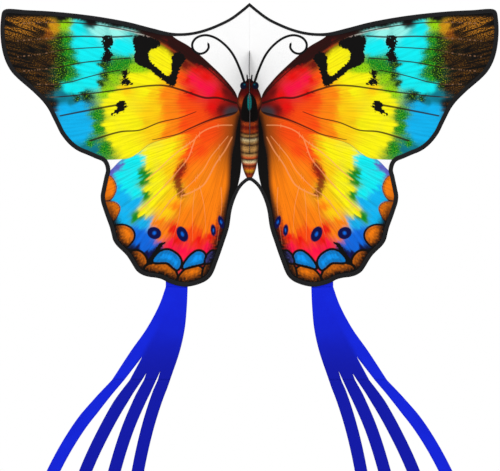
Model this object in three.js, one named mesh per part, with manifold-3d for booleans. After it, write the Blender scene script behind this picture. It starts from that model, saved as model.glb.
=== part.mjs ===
// Butterfly kite: a two-wing fabric sail on a fibreglass frame, a keel with the tow eyelet in front,
// and two streamer tails, each slit into four strips.
//
// Millimetres, +Z up. The kite stands upright, as it flies, and faces -Y. The origin is the tow point:
// the centre of the eyelet at the tip of the keel. The centre seam lies in the plane x = 0, behind it.
// Places on the sail are given as [out, down]: out from the centre seam, and down from the sail's peak.
import * as THREE from 'three';
import { mergeVertices } from 'three/addons/utils/BufferGeometryUtils.js';
import Module from 'manifold-3d';

const manifold = await Module();
manifold.setup();

// ---- driving dimensions -------------------------------------------------------------------------
const TOW_DROP = 270;        // the peak of the sail is this far above the tow point
const KEEL_DEPTH = 110;      // the sail's plane is this far behind the tow point
const CLOTH = 0.5;           // thickness of every cloth panel
const GAP = 0.3;             // clearance between two pieces that touch

const SEAM_HALF = 4.4;       // half width of the centre seam tape, on which both wings fold
const WING_START = 5;        // the wing panels begin this far out from the fold line
const TAPE_WIDTH = 12;       // visible width of the edge binding, a 25 mm tape folded in half
const TAPE_LAYER = 0.5;      // thickness of one layer of the tape
const RAW_EDGE = 1;          // the sail's raw edge stops this far inside the fold of the tape
const MITRE_LIMIT = 4;       // an inset corner moves in at most this many times the inset's width

const ROD_BACK = 6;          // every rod's centre line is this far behind the sail
const SPINE_RADIUS = 2;
const SPAR_RADIUS = 2;
const LEADING_RADIUS = 1.5;
const BATTEN_RADIUS = 1.25;
const CAP_WALL = 0.7;        // vinyl end caps
const CAP_LENGTH = 14;
const SLEEVE_ROOM = 0.8;     // a sleeve's inner radius is this much more than its rod's
const POCKET_WALL = 0.6;

const SPAR_DOWN = 324;       // the cross spar and its hub
const HUB_HALF_WIDTH = 6.5;
const HUB_HEIGHT = 30;
const HUB_FRONT = 2.6;       // behind the sail
const HUB_BACK = 10.2;
const ARM_START = 10;        // the hub's flexible arms
const ARM_END = 52;
const ARM_WALL = 1.4;
const SPAR_START = 20;

const KEEL_START = 6;        // the keel panel begins this far in front of the fold line
const KEEL_TOP = 130;        // above the tow point, at the seam
const KEEL_BOTTOM = -150;
const KEEL_TIP_RADIUS = 16;
const HEM_WIDTH = 6;
const EYELET_HOLE = 4;       // radii
const EYELET_BARREL = 4.7;
const EYELET_FLANGE = 8;
const FLANGE_THICKNESS = 0.9;

const TAIL_BACK = 1.6;       // the tails hang this far behind the sail's plane
const TAIL_ROOT_DOWN = 800;  // where a tail leaves the sail
const SLIT_DOWN = 1062;      // where its four strips begin to swing on their own
const TAIL_END_DOWN = 1750;
const STRIP_WIDTH = 35;
const TAB_DOWN = 768;        // top of the sewn tab behind the sail

const SAIL_Y = KEEL_DEPTH;
const ROD_Y = SAIL_Y + ROD_BACK;
const SIDES = [['left', -1], ['right', 1]];

// ---- outline of one wing, as [out, down] ---------------------------------------------------------
const PEAK_EDGE = [[0, 0], [49, 39], [94, 62], [139, 78], [182, 85], [220, 84]];
const TOP_EDGE = [[220, 84], [251, 78], [320, 59], [400, 43], [477, 32], [560, 24], [640, 20], [686, 18]];
const TIP_EDGE = [
  [695, 24], [701, 60], [699, 113], [688, 160], [664, 201], [606, 253], [572, 290], [549, 333],
  [527, 375], [492, 411], [446, 432], [412, 448],
];
const HIND_EDGE = [
  [404, 470], [413, 512], [419, 550], [408, 590], [392, 635], [380, 675], [345, 712], [316, 756],
  [288, 770], [252, 776], [222, 790], [181, 799], [138, 790], [108, 769], [88, 722], [72, 676],
  [58, 632], [50, 582], [37, 543], [20, 514], [0, 500],
];

// ---- shaping helpers ------------------------------------------------------------------------------
const vectors = points => points.map(([a, b]) => new THREE.Vector2(a, b));
const above = down => TOW_DROP - down;   // height over the tow point

function smooth(points, stepLength) {
  const curve = new THREE.SplineCurve(vectors(points));
  return curve.getSpacedPoints(Math.ceil(curve.getLength() / stepLength));
}

// The whole sail. The four edges of a wing each have their own step, and the top edge starts on the
// last point of the peak's edge. The other wing is its mirror image, from the notch back to the peak.
function sailOutline() {
  const edges = [[PEAK_EDGE, 40], [TOP_EDGE, 60], [TIP_EDGE, 26], [HIND_EDGE, 19]];
  const right = edges.flatMap(([edge, step], i) => smooth(edge, step).slice(i === 1 ? 1 : 0));
  const left = right.slice(1, -1).reverse().map(({ x, y }) => new THREE.Vector2(-x, y));
  return [...right, ...left].map(({ x, y }) => new THREE.Vector2(x, above(y)));
}

// A closed outline moved inwards. A point that ends up nearer the outline than the inset is left out.
function inset(outline, distance) {
  const distanceTo = (p, a, b) => {
    const along = b.clone().sub(a);
    const t = THREE.MathUtils.clamp(p.clone().sub(a).dot(along) / along.lengthSq(), 0, 1);
    return p.distanceTo(a.clone().addScaledVector(along, t));
  };
  const n = outline.length;
  const inward = THREE.ShapeUtils.isClockWise(outline) ? -1 : 1;
  const moved = outline.map((p, i) => {
    const before = p.clone().sub(outline[(i + n - 1) % n]).normalize();
    const after = outline[(i + 1) % n].clone().sub(p).normalize();
    const normal = before.add(after).normalize();
    const mitre = Math.min(1 / Math.abs(normal.dot(after)), MITRE_LIMIT);
    return new THREE.Vector2(-normal.y, normal.x).multiplyScalar(inward * distance * mitre).add(p);
  });
  const clear = p => outline.every((a, i) => distanceTo(p, a, outline[(i + 1) % n]) > 0.97 * distance);
  return moved.filter(clear);
}

function extrude(outline, thickness, holes = []) {
  const shape = new THREE.Shape(outline);
  shape.holes = holes.map(hole => new THREE.Path(hole));
  const plate = new THREE.ExtrudeGeometry(shape, { depth: thickness, bevelEnabled: false });
  return plate.translate(0, 0, -thickness / 2);
}

// An outline of [across, up] stands upright: as seen from the front, or edge on for the keel.
const facingFront = geometry => geometry.rotateX(Math.PI / 2);
const edgeOn = geometry => geometry.rotateX(Math.PI / 2).rotateZ(Math.PI / 2);

function toSolid(geometry) {
  geometry.deleteAttribute('normal');
  geometry.deleteAttribute('uv');
  const merged = mergeVertices(geometry);
  return new manifold.Manifold(new manifold.Mesh({
    numProp: 3,
    vertProperties: new Float32Array(merged.attributes.position.array),
    triVerts: new Uint32Array(merged.index.array),
  }));
}

function fromSolid(solid) {
  const mesh = solid.getMesh();
  const geometry = new THREE.BufferGeometry();
  geometry.setAttribute('position', new THREE.BufferAttribute(mesh.vertProperties, 3));
  geometry.setIndex(new THREE.BufferAttribute(mesh.triVerts, 1));
  geometry.computeVertexNormals();
  return geometry;
}

// Tape folded over the edge of a panel: a thick outline, less a slot for the panel, less its middle,
// and less the box 'cut', where there is no tape.
function foldedTape(outline, width, cut) {
  const slot = CLOTH + 2 * GAP;
  const whole = toSolid(extrude(outline, slot + 2 * TAPE_LAYER));
  const panelSlot = toSolid(extrude(inset(outline, TAPE_LAYER), slot));
  const middle = toSolid(extrude(inset(outline, width), 2 * slot + 4 * TAPE_LAYER));
  return fromSolid(whole.subtract(panelSlot).subtract(middle).subtract(toSolid(cut)));
}

function circle(radius, sides) {
  const turn = i => 2 * Math.PI * i / sides;
  return Array.from({ length: sides }, (_, i) =>
    new THREE.Vector2(radius * Math.cos(turn(i)), radius * Math.sin(turn(i))));
}

// ---- the scene -----------------------------------------------------------------------------------
const group = new THREE.Group();

const material = (colour, roughness, metalness = 0) =>
  new THREE.MeshStandardMaterial({ color: colour, roughness, metalness });
const finishes = {
  sail: material(0xe8902a, 0.55),
  tape: material(0x101012, 0.7),
  rod: material(0x1b1b1d, 0.35),
  vinyl: material(0x26262a, 0.5),
  pocket: material(0x141416, 0.75),
  keel: material(0xf2f2f0, 0.6),
  eyelet: material(0xb9bcc0, 0.25, 1),
  tail: material(0x0a22c8, 0.5),
};

function add(name, geometry, finish, position = [0, 0, 0]) {
  const mesh = new THREE.Mesh(geometry, finishes[finish]);
  mesh.name = name;
  mesh.position.set(...position);
  group.add(mesh);
  return mesh;
}

const place = ([out, down], side = 1, y = ROD_Y) => new THREE.Vector3(side * out, y, above(down));

// A straight piece made along +Y is laid from one point to another.
function layAlong(mesh, from, to) {
  const direction = to.clone().sub(from).normalize();
  mesh.quaternion.setFromUnitVectors(new THREE.Vector3(0, 1, 0), direction);
  mesh.position.copy(from);
}

function addRod(name, from, to, radius) {
  const length = from.distanceTo(to);
  const bar = new THREE.CylinderGeometry(radius, radius, length, 12).translate(0, length / 2, 0);
  layAlong(add(name, bar, 'rod'), from, to);
}

// A vinyl cap over the end of a rod. The end point is the rod's end, and it is approached from 'from'.
function addCap(name, from, end, radius) {
  const inner = radius + GAP;
  const outer = inner + CAP_WALL;
  const profile = [
    [0, GAP], [inner, GAP], [inner, -CAP_LENGTH], [outer, -CAP_LENGTH], [outer, GAP + CAP_WALL],
    [outer - 0.6, GAP + 2 * CAP_WALL], [0, GAP + 2 * CAP_WALL],
  ];
  const cap = add(name, new THREE.LatheGeometry(vectors(profile), 12), 'vinyl');
  layAlong(cap, from, end);
  cap.position.copy(end);
}

// A flat cloth pocket, open towards 'from', that holds the capped end of a rod.
function addPocket(name, from, end, roomRadius, length) {
  const half = roomRadius + GAP;
  const wall = half + POCKET_WALL;
  const closed = GAP + 2 * CAP_WALL + GAP;
  const outside = new THREE.BoxGeometry(2 * wall, 2 * wall, length);
  const inside = new THREE.BoxGeometry(2 * half, 2 * half, length);
  outside.translate(0, 0, closed + POCKET_WALL - length / 2);
  inside.translate(0, 0, closed - length / 2);
  const pocket = add(name, fromSolid(toSolid(outside).subtract(toSolid(inside))), 'pocket');
  // turned in the sail's own plane only, so that the pocket's flat sides stay parallel to the sail
  const direction = end.clone().sub(from);
  pocket.rotation.y = Math.atan2(direction.x, direction.z);
  pocket.position.copy(end);
}

function sleeve(innerRadius, length, sides = 10) {
  const outer = innerRadius + CLOTH;
  const profile = [[innerRadius, 0], [outer, 0], [outer, length], [innerRadius, length], [innerRadius, 0]];
  return new THREE.LatheGeometry(vectors(profile), sides);
}

// ---- spine: rod, caps, sleeves, pockets, seam tape and hub ------------------------------------------
const SPINE_TOP = 24;
const SPINE_END = 482;
const capRadius = radius => radius + GAP + CAP_WALL;
{
  const top = place([0, SPINE_TOP]);
  const bottom = place([0, SPINE_END]);
  addRod('spine_rod', bottom, top, SPINE_RADIUS);
  addCap('spine_cap_top', bottom, top, SPINE_RADIUS);
  addCap('spine_cap_bottom', top, bottom, SPINE_RADIUS);
  addPocket('nose_pocket', bottom, top, capRadius(SPINE_RADIUS), 26);
  addPocket('spine_end_pocket', top, bottom, capRadius(SPINE_RADIUS), 26);
  const sleeves = [['spine_sleeve_upper', 54, SPAR_DOWN - 24], ['spine_sleeve_lower', SPAR_DOWN + 24, 454]];
  for (const [name, from, to] of sleeves) {
    const tube = add(name, sleeve(SPINE_RADIUS + SLEEVE_ROOM, to - from), 'pocket');
    layAlong(tube, place([0, to]), place([0, from]));
  }
}
{
  const top = 4;
  const bottom = 497;
  const strip = new THREE.BoxGeometry(2 * SEAM_HALF, CLOTH, bottom - top);
  add('centre_seam_tape', strip, 'tape', [0, SAIL_Y, above((top + bottom) / 2)]);
}
{
  // the hub is a moulded block on the spine, with its side edges chamfered towards the arms
  const front = HUB_FRONT - ROD_BACK;
  const back = HUB_BACK - ROD_BACK;
  const section = [
    [-HUB_HALF_WIDTH, front + 1.2], [-HUB_HALF_WIDTH + 1.2, front], [HUB_HALF_WIDTH - 1.2, front],
    [HUB_HALF_WIDTH, front + 1.2], [HUB_HALF_WIDTH, back - 1.2], [HUB_HALF_WIDTH - 1.2, back],
    [-HUB_HALF_WIDTH + 1.2, back], [-HUB_HALF_WIDTH, back - 1.2],
  ];
  const bore = circle(SPINE_RADIUS + GAP, 12);
  add('cross_hub', extrude(vectors(section), HUB_HEIGHT, [bore]), 'vinyl', [0, ROD_Y, above(SPAR_DOWN)]);
}

// ---- keel: panel, hem, eyelet and washer ------------------------------------------------------------
{
  // [across, up] with across running back from the tow point to the seam
  const seam = SAIL_Y - KEEL_START;
  const tipStart = Math.atan2(KEEL_TOP, seam) + Math.PI / 2;
  const tipEnd = 1.5 * Math.PI - Math.atan2(-KEEL_BOTTOM, seam);
  const tip = new THREE.Path().absarc(0, 0, KEEL_TIP_RADIUS, tipStart, tipEnd, false).getPoints(10);
  const outline = [...tip, new THREE.Vector2(seam, KEEL_BOTTOM), new THREE.Vector2(seam, KEEL_TOP)];
  const hole = circle(EYELET_BARREL + GAP, 16);
  add('keel_panel', edgeOn(extrude(inset(outline, RAW_EDGE), CLOTH, [hole])), 'keel');
  const openSide = new THREE.BoxGeometry(2 * HEM_WIDTH, 400, 10).translate(seam, 0, 0);
  add('keel_hem', edgeOn(foldedTape(outline, HEM_WIDTH, openSide)), 'tape');

  const face = CLOTH / 2 + GAP;
  const rim = face + FLANGE_THICKNESS;
  const rolled = 0.5;
  const eyelet = [
    [EYELET_HOLE, -rim], [EYELET_BARREL, -rim], [EYELET_BARREL, face], [EYELET_FLANGE, face],
    [EYELET_FLANGE, rim], [EYELET_HOLE + rolled, rim], [EYELET_HOLE, rim - rolled], [EYELET_HOLE, -rim],
  ];
  const washer = [
    [EYELET_BARREL + GAP, -rim], [EYELET_FLANGE, -rim], [EYELET_FLANGE, -face],
    [EYELET_BARREL + GAP, -face], [EYELET_BARREL + GAP, -rim],
  ];
  for (const [name, profile] of [['tow_eyelet', eyelet], ['eyelet_washer', washer]]) {
    const ring = add(name, new THREE.LatheGeometry(vectors(profile), 20), 'eyelet');
    ring.rotation.z = -Math.PI / 2;
  }
}

// ---- wings: sail panel, binding, rods, sleeve, caps and pockets ---------------------------------------
const LEADING_ROUTE = [
  [676, 44], [600, 46], [500, 56], [400, 73], [300, 100], [220, 133], [150, 178], [96, 232],
];
const LEADING_SLEEVE = [0.05, 0.94];   // the stretch of the rod inside its sleeve
const BATTEN_TOP = [38, 364];
const BATTEN_END = [196, 752];
const SPAR_END = [527, SPAR_DOWN];

const TAPE_START = WING_START + 1;
const SAIL_ROOM = 1200;      // a box this large takes the whole of the other wing

// The stretch of a curve between two shares of its length.
function stretch(curve, [from, to]) {
  const steps = 15;
  const at = i => curve.getPointAt(THREE.MathUtils.lerp(from, to, i / steps));
  return new THREE.CatmullRomCurve3(Array.from({ length: steps + 1 }, (_, i) => at(i)));
}

// Everything on the far side of the fold line, and this far on the near side of it.
const otherWing = (side, margin) =>
  new THREE.BoxGeometry(SAIL_ROOM, 2 * SAIL_ROOM, 20).translate(side * (margin - SAIL_ROOM / 2), 0, 0);

for (const [name, side] of SIDES) {
  const outline = sailOutline();
  const cloth = toSolid(extrude(inset(outline, RAW_EDGE), CLOTH));
  const panel = cloth.subtract(toSolid(otherWing(side, WING_START)));
  const binding = foldedTape(outline, TAPE_WIDTH, otherWing(side, TAPE_START));
  add(`${name}_sail`, facingFront(fromSolid(panel)), 'sail', [0, SAIL_Y, 0]);
  add(`${name}_edge_binding`, facingFront(binding), 'tape', [0, SAIL_Y, 0]);

  const route = new THREE.CatmullRomCurve3(LEADING_ROUTE.map(point => place(point, side)));
  const bend = { extrudePath: route, steps: 30, bevelEnabled: false };
  const rodShape = new THREE.Shape(circle(LEADING_RADIUS, 8));
  add(`${name}_leading_rod`, new THREE.ExtrudeGeometry(rodShape, bend), 'rod');
  const tubeShape = new THREE.Shape(circle(LEADING_RADIUS + SLEEVE_ROOM + CLOTH, 8));
  tubeShape.holes = [new THREE.Path(circle(LEADING_RADIUS + SLEEVE_ROOM, 8))];
  const tubeBend = { extrudePath: stretch(route, LEADING_SLEEVE), steps: 24, bevelEnabled: false };
  add(`${name}_leading_sleeve`, new THREE.ExtrudeGeometry(tubeShape, tubeBend), 'pocket');
  const [tip, afterTip] = [route.getPointAt(0), route.getPointAt(0.02)];
  const [root, beforeRoot] = [route.getPointAt(1), route.getPointAt(0.98)];
  addCap(`${name}_leading_cap`, afterTip, tip, LEADING_RADIUS);
  addPocket(`${name}_wing_tip_pocket`, afterTip, tip, capRadius(LEADING_RADIUS), 24);
  addPocket(`${name}_leading_root_pocket`, beforeRoot, root, LEADING_RADIUS + GAP, 20);

  const sparStart = place([SPAR_START, SPAR_DOWN], side);
  const sparEnd = place(SPAR_END, side);
  addRod(`${name}_cross_spar`, sparStart, sparEnd, SPAR_RADIUS);
  addCap(`${name}_cross_spar_cap`, sparStart, sparEnd, SPAR_RADIUS);
  addPocket(`${name}_cross_spar_pocket`, sparStart, sparEnd, capRadius(SPAR_RADIUS), 26);
  const armBore = SPAR_RADIUS + GAP;
  const armProfile = [
    [armBore, 0], [armBore + ARM_WALL, 0], [armBore + ARM_WALL, ARM_END - ARM_START],
    [armBore, ARM_END - ARM_START], [armBore, 0],
  ];
  const arm = add(`${name}_hub_arm`, new THREE.LatheGeometry(vectors(armProfile), 12), 'vinyl');
  layAlong(arm, place([ARM_START, SPAR_DOWN], side), sparEnd);

  const battenTop = place(BATTEN_TOP, side);
  const battenEnd = place(BATTEN_END, side);
  addRod(`${name}_hind_batten`, battenTop, battenEnd, BATTEN_RADIUS);
  addCap(`${name}_batten_cap`, battenTop, battenEnd, BATTEN_RADIUS);
  addPocket(`${name}_batten_root_pocket`, battenEnd, battenTop, BATTEN_RADIUS + GAP, 20);
  addPocket(`${name}_batten_end_pocket`, battenTop, battenEnd, capRadius(BATTEN_RADIUS), 24);
}

// ---- tails: sewn tab, slit head and four strips -------------------------------------------------------
const ROOT = TAIL_ROOT_DOWN + GAP;
const SLIT = SLIT_DOWN - GAP;
const HEAD_INNER = [[174, ROOT], [176, 850], [182, 916], [196, 980], [223, SLIT]];
const HEAD_OUTER = [[236, ROOT], [254, 850], [289, 916], [334, 980], [399, SLIT]];
const LONG_SLIT = [[343, SLIT], [305, 1004], [352, SLIT]];
const TAB = [[174, TAB_DOWN], [236, TAB_DOWN], [236, TAIL_ROOT_DOWN - GAP], [174, TAIL_ROOT_DOWN - GAP]];
// each strip's centre line, as [out, down], from the outermost to the innermost
const STRIP_LINES = [
  [[375, SLIT_DOWN], [422, 1116], [484, 1200], [548, 1310], [607, 1450], [645, 1600], [668, TAIL_END_DOWN]],
  [[320, SLIT_DOWN], [358, 1116], [406, 1200], [458, 1310], [507, 1450], [541, 1600], [563, TAIL_END_DOWN]],
  [[280, SLIT_DOWN], [307, 1116], [343, 1200], [378, 1310], [412, 1450], [436, 1600], [452, TAIL_END_DOWN]],
  [[241, SLIT_DOWN], [262, 1116], [288, 1200], [313, 1310], [334, 1450], [348, 1600], [356, TAIL_END_DOWN]],
];
const STRIP_STEPS = 12;
const CROWDED_WIDTH = 35;   // across, where the slits begin and the strips lie side by side
const CROWDED_GROWTH = 6;   // and how much wider, across, each step may be than the one before

function stripOutline(line, side) {
  const curve = new THREE.SplineCurve(vectors(line));
  const [inner, outer] = [[], []];
  for (let i = 0; i <= STRIP_STEPS; i++) {
    const { x: out, y: down } = curve.getPoint(i / STRIP_STEPS);
    const slope = curve.getTangent(i / STRIP_STEPS);
    const across = STRIP_WIDTH * slope.length() / Math.abs(slope.y);
    const half = Math.min(across, CROWDED_WIDTH + i * CROWDED_GROWTH) / 2;
    const height = above(i ? down : down + GAP);
    inner.push(new THREE.Vector2(side * (out - half), height));
    outer.push(new THREE.Vector2(side * (out + half), height));
  }
  return [...inner, ...outer.reverse()];
}

for (const [name, side] of SIDES) {
  const cloth = (label, outline) =>
    add(label, facingFront(extrude(outline, CLOTH)), 'tail', [0, SAIL_Y + TAIL_BACK, 0]);
  const onSide = points => points.map(({ x, y }) => new THREE.Vector2(side * x, above(y)));
  const head = [...smooth(HEAD_INNER, 40), ...vectors(LONG_SLIT), ...smooth(HEAD_OUTER, 40).reverse()];
  cloth(`${name}_tail_tab`, onSide(vectors(TAB)));
  cloth(`${name}_tail_head`, onSide(head));
  STRIP_LINES.forEach((line, i) => cloth(`${name}_tail_strip_${i + 1}`, stripOutline(line, side)));
}

export default group;
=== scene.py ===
# %% [markdown]
# # A butterfly kite, ready to fly
# The kite is a printed sail in two wings, bound with black tape and held open by thin rods behind it.
# A cloth keel in front carries the tow eyelet, and each hind wing trails a blue tail slit into four
# streamers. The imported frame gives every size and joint. This file adds the cloth, thread and finish.

# %% Load the frame
import math
import bmesh
import bpy
import numpy as np
from mathutils import Matrix, Vector, noise


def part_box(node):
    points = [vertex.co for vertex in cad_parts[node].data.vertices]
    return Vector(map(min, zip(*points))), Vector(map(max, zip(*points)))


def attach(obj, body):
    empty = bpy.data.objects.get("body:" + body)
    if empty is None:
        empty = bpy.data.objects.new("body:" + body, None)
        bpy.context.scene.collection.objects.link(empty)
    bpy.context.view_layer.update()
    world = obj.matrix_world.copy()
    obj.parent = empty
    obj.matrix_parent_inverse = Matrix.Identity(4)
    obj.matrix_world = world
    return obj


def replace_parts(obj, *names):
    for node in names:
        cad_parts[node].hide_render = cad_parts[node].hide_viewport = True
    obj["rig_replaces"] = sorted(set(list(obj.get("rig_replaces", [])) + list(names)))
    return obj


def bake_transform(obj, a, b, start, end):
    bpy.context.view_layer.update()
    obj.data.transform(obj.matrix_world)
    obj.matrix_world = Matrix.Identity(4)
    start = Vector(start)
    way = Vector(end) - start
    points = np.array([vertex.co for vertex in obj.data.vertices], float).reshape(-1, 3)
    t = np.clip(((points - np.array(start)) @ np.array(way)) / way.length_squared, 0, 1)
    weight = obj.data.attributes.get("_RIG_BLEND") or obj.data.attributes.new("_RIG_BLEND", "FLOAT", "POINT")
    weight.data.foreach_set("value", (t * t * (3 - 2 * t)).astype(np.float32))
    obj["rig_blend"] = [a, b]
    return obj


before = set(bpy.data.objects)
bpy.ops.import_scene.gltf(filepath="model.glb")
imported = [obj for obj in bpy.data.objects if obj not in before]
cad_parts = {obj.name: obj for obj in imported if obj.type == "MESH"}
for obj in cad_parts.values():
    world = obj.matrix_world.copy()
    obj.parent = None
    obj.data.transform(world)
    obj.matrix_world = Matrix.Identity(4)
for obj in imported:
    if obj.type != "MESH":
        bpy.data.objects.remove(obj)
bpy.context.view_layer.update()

# %% [markdown]
# ## The maker's drawing
# Kite makers draw a sail flat and measure from its peak. Places here are [out, down] in millimetres:
# out from the centre seam and down from the peak. `place` turns one into a point in the frame, and
# `back` is how far behind the cloth it lies. Only the right wing is drawn, because the left mirrors it.

# %% Drawing units
MM = 0.001
SAIL_Y = sum(corner.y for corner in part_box("right_sail")) / 2
PEAK_Z = 270 * MM                     # the peak over the tow point, which is the frame's origin
ROD_BACK = 6                          # the rods' centre lines lie this far behind the cloth
SIDES = (("left", -1), ("right", 1))


def place(out, down, back=0.0):
    return Vector((out * MM, SAIL_Y + back * MM, PEAK_Z - down * MM))


print("the cloth's plane is at y =", round(SAIL_Y, 4))

# %% [markdown]
# ## Camera, light and floor
# A long lens far in front of the kite keeps the wings flat and even. The light is a soft white room: a
# bright world for even fill, and three large area lights for a slight fall of shade over the cloth. The
# Standard view transform keeps printed colours as strong as dye is.

# %% Camera
VIEW_WIDTH = 1.4085                   # metres across the picture, at the sail
LENS, SENSOR = 150, 36
camera_data = bpy.data.cameras.new("camera")
camera_data.lens = LENS
camera_data.sensor_width = SENSOR
camera = bpy.data.objects.new("camera", camera_data)
bpy.context.scene.collection.objects.link(camera)
camera.location = (0.0015, SAIL_Y - VIEW_WIDTH * LENS / SENSOR, -0.385)
camera.rotation_euler = (math.radians(90), 0, 0)
bpy.context.scene.camera = camera
bpy.context.scene.view_settings.view_transform = "Standard"

# %% Light and floor
ROOM_LIGHT = 0.8
world = bpy.data.worlds.new("soft_room")
world.use_nodes = True
seen = world.node_tree.nodes["Background"]
seen.inputs["Color"].default_value = (1, 1, 1, 1)
path = world.node_tree.nodes.new("ShaderNodeLightPath")
level = world.node_tree.nodes.new("ShaderNodeMapRange")
level.inputs["To Min"].default_value = ROOM_LIGHT       # what falls on the kite
level.inputs["To Max"].default_value = 1.0              # what shows behind it
world.node_tree.links.new(path.outputs["Is Camera Ray"], level.inputs["Value"])
world.node_tree.links.new(level.outputs["Result"], seen.inputs["Strength"])
bpy.context.scene.world = world


def softbox(name, at, aim, size, watts):
    light = bpy.data.lights.new(name, "AREA")
    light.shape = "DISK"
    light.size = size
    light.energy = watts
    lamp = bpy.data.objects.new(name, light)
    bpy.context.scene.collection.objects.link(lamp)
    lamp.location = at
    lamp.rotation_euler = (Vector(aim) - Vector(at)).to_track_quat("-Z", "Y").to_euler()


softbox("key", (-2.2, -3.6, 2.6), (0, 0, -0.4), 2.0, 48)
softbox("fill", (2.8, -3.0, 0.6), (0, 0, -0.4), 2.5, 16)
softbox("rear", (1.5, 3.6, 2.2), (0, 0, -0.4), 2.5, 40)

FLOOR_Z, FLOOR_RADIUS = -1.52, 3.4
floor_mesh = bpy.data.meshes.new("floor")
bm = bmesh.new()
bmesh.ops.create_circle(bm, cap_ends=True, segments=96, radius=FLOOR_RADIUS)
bm.to_mesh(floor_mesh)
bm.free()
floor_mesh.transform(Matrix.Translation((0, 0, FLOOR_Z)))
floor = bpy.data.objects.new("floor", floor_mesh)
bpy.context.scene.collection.objects.link(floor)

# %% [markdown]
# ## Shader maths as plain sums
# A material is a graph of nodes, but a pattern is easier to read as a formula. `Value` wraps a socket,
# so that a sum or product of two of them adds the Math node. `Finish` is a material being made: its
# `node` method adds any other node, with its settings first and then the links of its sockets.

# %% Value and Finish
class Value:
    """A socket of a material, with the operators that add Math nodes."""

    def __init__(self, finish, socket):
        self.finish = finish
        self.socket = socket

    def maths(self, operation, *others):
        inputs = dict(enumerate((self, *others)))
        return self.finish.node("ShaderNodeMath", {"operation": operation}, inputs)

    def __add__(self, other):
        return self.maths("ADD", other)

    def __sub__(self, other):
        return self.maths("SUBTRACT", other)

    def __rsub__(self, other):
        return self.finish.node("ShaderNodeMath", {"operation": "SUBTRACT"}, {0: other, 1: self})

    def __mul__(self, other):
        return self.maths("MULTIPLY", other)

    def __abs__(self):
        return self.maths("ABSOLUTE")

    __radd__ = __add__
    __rmul__ = __mul__

    def rise(self, low, high):
        """0 below low and 1 above high, with a smooth step between."""
        settings = {"interpolation_type": "SMOOTHSTEP"}
        return self.finish.node("ShaderNodeMapRange", settings, {0: self, 1: low, 2: high})


class Finish:
    """A material under construction."""

    def __init__(self, name):
        self.material = bpy.data.materials.new(name)
        self.material.use_nodes = True
        self.tree = self.material.node_tree
        self.tree.nodes.clear()

    def node(self, kind, settings=None, inputs=None, output=0):
        made = self.tree.nodes.new(kind)
        for key, value in (settings or {}).items():
            setattr(made, key, value)
        for key, value in (inputs or {}).items():
            if isinstance(value, Value):
                self.tree.links.new(value.socket, made.inputs[key])
            else:
                made.inputs[key].default_value = value
        return Value(self, made.outputs[output]) if len(made.outputs) else None

    def attribute(self, name, output="Fac"):
        return self.node("ShaderNodeAttribute", {"attribute_name": name}, output=output)

    def flat_place(self):
        """The point on the flat cloth, from the piece's own UV map: metres across and along."""
        return self.node("ShaderNodeUVMap", {"uv_map": "flat"})

    def axis(self, vector, index):
        return self.node("ShaderNodeSeparateXYZ", None, {0: vector}, index)

    def vector(self, x, y, z=0.0):
        return self.node("ShaderNodeCombineXYZ", None, {0: x, 1: y, 2: z})

    def grain(self, vector, scale, detail=3.0):
        inputs = {"Vector": vector, "Scale": scale, "Detail": detail}
        return self.node("ShaderNodeTexNoise", None, inputs)

    def mix(self, factor, a, b):
        return self.node("ShaderNodeMix", {"data_type": "RGBA"}, {0: factor, 6: a, 7: b}, 2)

    def scaled(self, colour, factor):
        settings = {"operation": "SCALE"}
        return self.node("ShaderNodeVectorMath", settings, {0: colour, 3: factor})

    def surface(self, base, roughness, height=None, depth=0.0002, **constants):
        """Ends the material in a Principled shader. Constants go straight on its sockets."""
        inputs = {"Base Color": base, "Roughness": roughness}
        if height is not None:
            inputs["Normal"] = self.node("ShaderNodeBump", None, {"Height": height, "Distance": depth})
        inputs.update({key.replace("_", " "): value for key, value in constants.items()})
        shader = self.node("ShaderNodeBsdfPrincipled", None, inputs)
        self.node("ShaderNodeOutputMaterial", None, {0: shader})
        return self.material


def dye(red, green, blue):
    """An on-screen colour, 0 to 255 a channel, as the linear colour that a shader takes."""
    return tuple((channel / 255) ** 2.2 for channel in (red, green, blue)) + (1.0,)


# %% [markdown]
# ## Making a piece
# Every piece is a mesh made in a bmesh and turned into an object whose place is in its vertices. It
# rides on a body of the frame, stands for the plain CAD solid, and names the material slot it takes
# its finish from. `mirrored` makes the left wing's copy. A negative scale turns a shape inside out, so
# the copy's faces are flipped back.

# %% Pieces and their mirror images
def new_piece(name, bm, finishes, replaces=()):
    mesh = bpy.data.meshes.new(name)
    bm.to_mesh(mesh)
    bm.free()
    mesh.shade_smooth()
    for finish in finishes:
        mesh.materials.append(finish)
    piece = bpy.data.objects.new(name, mesh)
    bpy.context.scene.collection.objects.link(piece)
    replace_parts(piece, *replaces)
    return piece


def thicken(piece, thickness, offset=0.0, backing=0):
    """A live Solidify gives a sheet its two faces. The backing is the second face's material."""
    wall = piece.modifiers.new("thickness", "SOLIDIFY")
    wall.thickness = thickness * MM
    wall.offset = offset
    wall.material_offset = backing
    wall.material_offset_rim = backing
    return piece


def mirrored(piece):
    """The left wing's copy of a piece whose name starts with right."""
    name = piece.name.replace("right", "left")
    copy = bpy.data.objects.new(name, piece.data.copy())
    copy.data.name = name
    copy.data.transform(Matrix.Scale(-1, 4, (1, 0, 0)))
    copy.data.flip_normals()
    bpy.context.scene.collection.objects.link(copy)
    for modifier in piece.modifiers:
        twin = copy.modifiers.new(modifier.name, modifier.type)
        for key in ("thickness", "offset", "material_offset", "material_offset_rim"):
            setattr(twin, key, getattr(modifier, key))
    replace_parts(copy, *[node.replace("right", "left") for node in piece.get("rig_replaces", [])])
    return copy


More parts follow.
